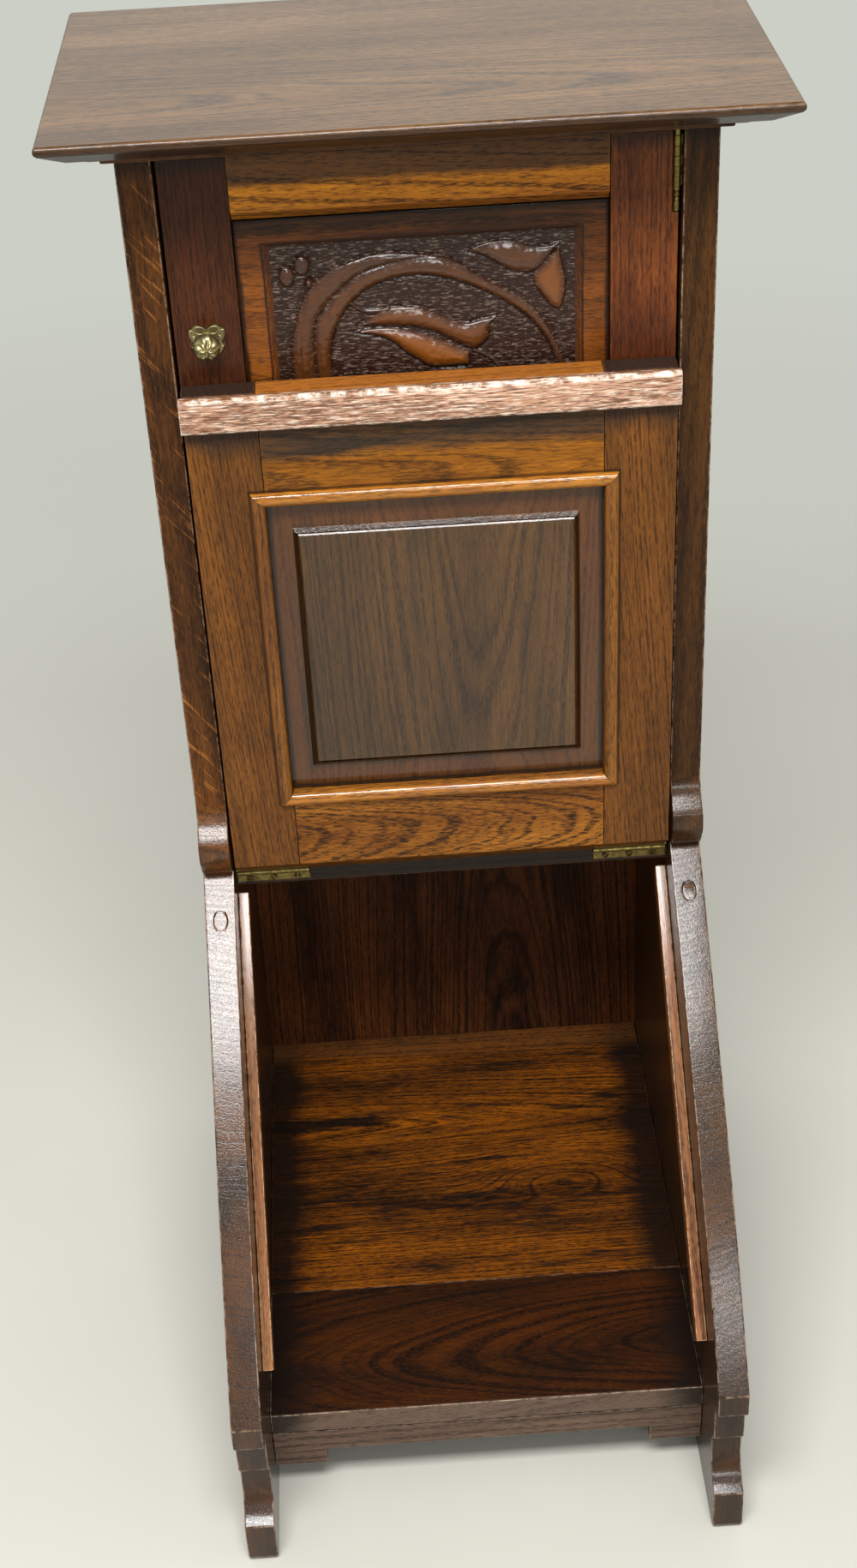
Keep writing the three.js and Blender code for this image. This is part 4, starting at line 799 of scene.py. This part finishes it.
# ---- knob: a cast dome with a whorl of petals, turned neck and spigot, on a plate cast as a ribbon bow
print("knob")
knobShape = {
    "axis": (-132.5, 794.9),  # mm, sideways and up
    "face": 48.9,             # mm, the door's face
    "spigot": 12.0,           # mm, how far it reaches into the stile
    # radius and height over the door's face, in mm, from the plate to the dome
    "turned": [(2.0, -0.5), (5.0, 2.4), (4.2, 4.4), (3.6, 7.4), (4.4, 10.0), (7.6, 11.3)],
    "dome": (8.25, 12.8, 6.4),  # mm, its radius, the height of its rim, and its crown over that
    "rings": 26,
    "petals": (5, 0.8),      # how many, and how high in mm they stand
}
dome = knobShape["dome"]
middle = (knobShape["axis"][0] * mm, 0, knobShape["axis"][1] * mm)
profile = [(2.0, -knobShape["spigot"])] + knobShape["turned"]
for i in range(knobShape["rings"]):
    angle = math.pi / 2 * i / knobShape["rings"]
    profile.append((dome[0] * math.cos(angle), dome[1] + dome[2] * math.sin(angle)))
foot = (middle[0], (knobShape["face"] - profile[0][1]) * mm, middle[2])
bpy.ops.object.select_all(action="DESELECT")
bpy.ops.mesh.primitive_circle_add(vertices=90, radius=profile[0][0] * mm, fill_type="NGON",
                                  location=foot, rotation=(math.pi / 2, 0, 0))
knob = bpy.context.object
bpy.ops.object.transform_apply()
knob.name = knob.data.name = "knob_finished"
bpy.ops.object.mode_set(mode="EDIT")
bpy.ops.mesh.select_all(action="SELECT")
for (radius, height), (radius2, height2) in zip(profile, profile[1:]):
    extrude(0, height - height2, 0)
    bpy.ops.transform.resize(value=(radius2 / radius, 1, radius2 / radius), center_override=middle)
bpy.ops.mesh.poke(offset=(dome[1] + dome[2] - profile[-1][1]) * mm)
bpy.ops.mesh.select_all(action="SELECT")
bpy.ops.mesh.normals_make_consistent(inside=False)
bpy.ops.object.mode_set(mode="OBJECT")
bright = []
for vertex in knob.data.vertices:
    x, z = (vertex.co.x - middle[0]) / mm, (vertex.co.z - middle[2]) / mm
    height = knobShape["face"] - vertex.co.y / mm
    out, angle = math.hypot(x, z) / dome[0], math.atan2(z, x)
    petals, tall = knobShape["petals"]
    # petals curl round the middle, each with a raised rim
    curl = math.cos(petals * angle + 5.5 * out) + 0.6 * math.cos(2 * petals * angle - 7 * out)
    onDome = min(max((height - dome[1]) / 1.5, 0), 1) * min(out / 0.25, 1)
    vertex.co.y -= (curl - 0.4) * tall * onDome * 0.6 * mm
    bright.append(onDome * min(max(curl * 0.6, 0), 1))
mark(knob, "touched", bright)
bpy.ops.object.shade_smooth_by_angle(angle=math.radians(50))
knob.data.materials.append(castBrass)
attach(knob, "door")
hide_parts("knob")

plate = softened("knob_backplate", castBrass, 0.5, "door", "brass")
ribbons = [  # place right of and above the knob's axis, half width and half height, turn in degrees
    ((-4.3, 6.1), (3.2, 2.3), -12), ((4.3, 6.1), (3.2, 2.3), 12),
    ((-8.5, 4.0), (2.3, 1.2), -48), ((8.5, 4.0), (2.3, 1.2), 48),
    ((0, -3.8), (6.4, 6.0), 0), ((-8.6, -1.6), (1.3, 3.0), -14), ((8.6, -1.6), (1.3, 3.0), 14),
]
ribbonThick = 0.4  # mm, radius of a ribbon's rim
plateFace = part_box("knob_backplate")[0][1]
parts = [plate]
for (right, up), (halfWide, halfHigh), tilt in ribbons:
    bpy.ops.object.select_all(action="DESELECT")
    bpy.ops.mesh.primitive_torus_add(major_radius=1, minor_radius=ribbonThick / halfHigh,
                                     major_segments=36, minor_segments=8, rotation=(math.pi / 2, 0, 0))
    bpy.ops.object.transform_apply(location=False, scale=False)
    loop = bpy.context.object
    loop.scale = (halfWide * mm, halfHigh * mm, halfHigh * mm)
    loop.rotation_euler = (0, -math.radians(tilt), 0)
    loop.location = (middle[0] + right * mm, plateFace, middle[2] + up * mm)
    bpy.ops.object.transform_apply()
    mark(loop, "touched", [0.3] * len(loop.data.vertices))
    bpy.ops.object.shade_smooth()
    loop.data.materials.append(castBrass)
    parts.append(loop)
for part in parts:
    part.select_set(True)
bpy.context.view_layer.objects.active = plate
bpy.ops.object.join()

# ---- countersunk screws with one slot, three in each of the flap's fixed hinge leaves
print("screws")
screwShape = {
    "places": [-143.5, -126.6, -109.7, 109.7, 126.6, 143.5],  # mm, sideways
    "up": 386.9,         # mm
    "leafFace": 49.3,    # mm, the face of the hinge leaf
    "radius": 2.7,
    "proud": 0.15,       # mm that the head stands over the leaf
    "deep": 0.6,
    "slot": (0.8, 0.5),  # mm, its width and depth
    "turn": (20, 37),    # degrees, the first slot's, and how much further each next one is turned
}
for i, right in enumerate(screwShape["places"]):
    bpy.ops.object.select_all(action="DESELECT")
    radius, deep = screwShape["radius"] * mm, screwShape["deep"] * mm
    headFace = Vector((right, screwShape["leafFace"] - screwShape["proud"], screwShape["up"])) * mm
    slotWide, slotDeep = [size * mm for size in screwShape["slot"]]
    slotTurn = math.radians(screwShape["turn"][0] + i * screwShape["turn"][1])
    bpy.ops.mesh.primitive_cylinder_add(vertices=28, radius=radius, depth=deep,
                                        location=headFace + Vector((0, deep / 2, 0)),
                                        rotation=(math.pi / 2, 0, 0))
    screw = bpy.context.object
    bpy.ops.object.transform_apply()
    screw.name = screw.data.name = f"flap_hinge_screw_{i + 1}"
    bpy.ops.mesh.primitive_cube_add(size=1, rotation=(0, slotTurn, 0), location=headFace,
                                    scale=(2.3 * radius, 2 * slotDeep, slotWide))
    slotCutter = bpy.context.object
    bpy.ops.object.transform_apply()
    slot = screw.modifiers.new("slot", "BOOLEAN")
    slot.operation = "DIFFERENCE"
    slot.object = slotCutter
    bpy.context.view_layer.objects.active = screw
    bpy.ops.object.modifier_apply(modifier="slot")
    bpy.data.objects.remove(slotCutter)
    bevel(screw, 0.12, 1)
    screw.data.materials.append(darkBrass)
    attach(screw, "carcase")

print("hardware")
for node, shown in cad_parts.items():
    if node.startswith(("flap_hinge_left", "flap_hinge_right", "door_hinge")):
        shown.data.materials.clear()
        shown.data.materials.append(agedBrass)


# ---- floor, sky and lamps
print("studio")
floorSet = {
    "size": 24.0,
    "colour": "#c0beb4",
    "mottle": "#b5b3a9",
    "wall": "#cccfc6",
    "near": 0.6,  # metres from the piece where the floor begins to turn into the wall's tone
    "far": 2.2,   # and where it shows that tone alone
}
bpy.ops.object.select_all(action="DESELECT")
bpy.ops.mesh.primitive_plane_add(size=floorSet["size"], location=(0, 0, 0))
floor = bpy.context.object
floor.name = "floor"
floorMaterial = bpy.data.materials.new("pale_floor")
add = startTree(floorMaterial)
place = (add("TexCoord"), "Object")
cloud = add("TexNoise", {"Scale": 3.0, "Detail": 6.0}, {"Vector": place})
tone = add("Mix", {"data_type": "RGBA", 6: floorSet["mottle"], 7: floorSet["colour"]}, {0: cloud})
shader = add("BsdfPrincipled", {"Roughness": 0.7}, {"Base Color": tone})
# far from the piece the floor shows as an evenly lit pale wall would, to the eye and in reflections
apart = add("VectorMath", {"operation": "LENGTH"}, {0: place})
far = add("MapRange", {"From Min": floorSet["near"], "From Max": floorSet["far"]}, {"Value": apart})
seen = add("Math", {"operation": "MULTIPLY"}, {0: seenDirectly(add), 1: far})
wall = add("Emission", {"Color": floorSet["wall"], "Strength": 1.0})
shown = add("MixShader", {}, {0: seen, 1: shader, 2: wall})
add("OutputMaterial", {}, {"Surface": shown})
floor.data.materials.append(floorMaterial)

world = bpy.data.worlds.new("studio")
bpy.context.scene.world = world
add = startTree(world)
sky = add("Background", {"Color": "#eceded", "Strength": 0.75})
wall = add("Background", {"Color": floorSet["wall"], "Strength": 1.0})
shown = add("MixShader", {}, {0: seenDirectly(add), 1: sky, 2: wall})
add("OutputWorld", {}, {"Surface": shown})

lamps = {
    "ceiling": {"place": (-0.2, -1.12, 2.35), "aim": (-0.2, -1.0, 0), "size": (1.36, 0.56), "power": 74},
    "window": {"place": (0.45, -2.7, 2.1), "aim": (0, 0, 0.6), "size": (0.9, 0.5), "power": 18},
    "far wall": {"place": (0, 3.6, 2.5), "aim": (0, 0, 0.9), "size": (5.0, 2.0), "power": 25},
}
for name, lamp in lamps.items():
    data = bpy.data.lights.new(name, "AREA")
    data.shape = "RECTANGLE"
    data.size, data.size_y = lamp["size"]
    data.energy = lamp["power"]
    light = bpy.data.objects.new(name, data)
    light.visible_camera = False
    bpy.context.scene.collection.objects.link(light)
    aim = Vector(lamp["aim"]) - Vector(lamp["place"])
    facing = aim.to_track_quat("-Z", "Y").to_matrix().to_4x4()
    light.matrix_world = Matrix.Translation(lamp["place"]) @ facing

bpy.context.scene.view_settings.view_transform = "Standard"
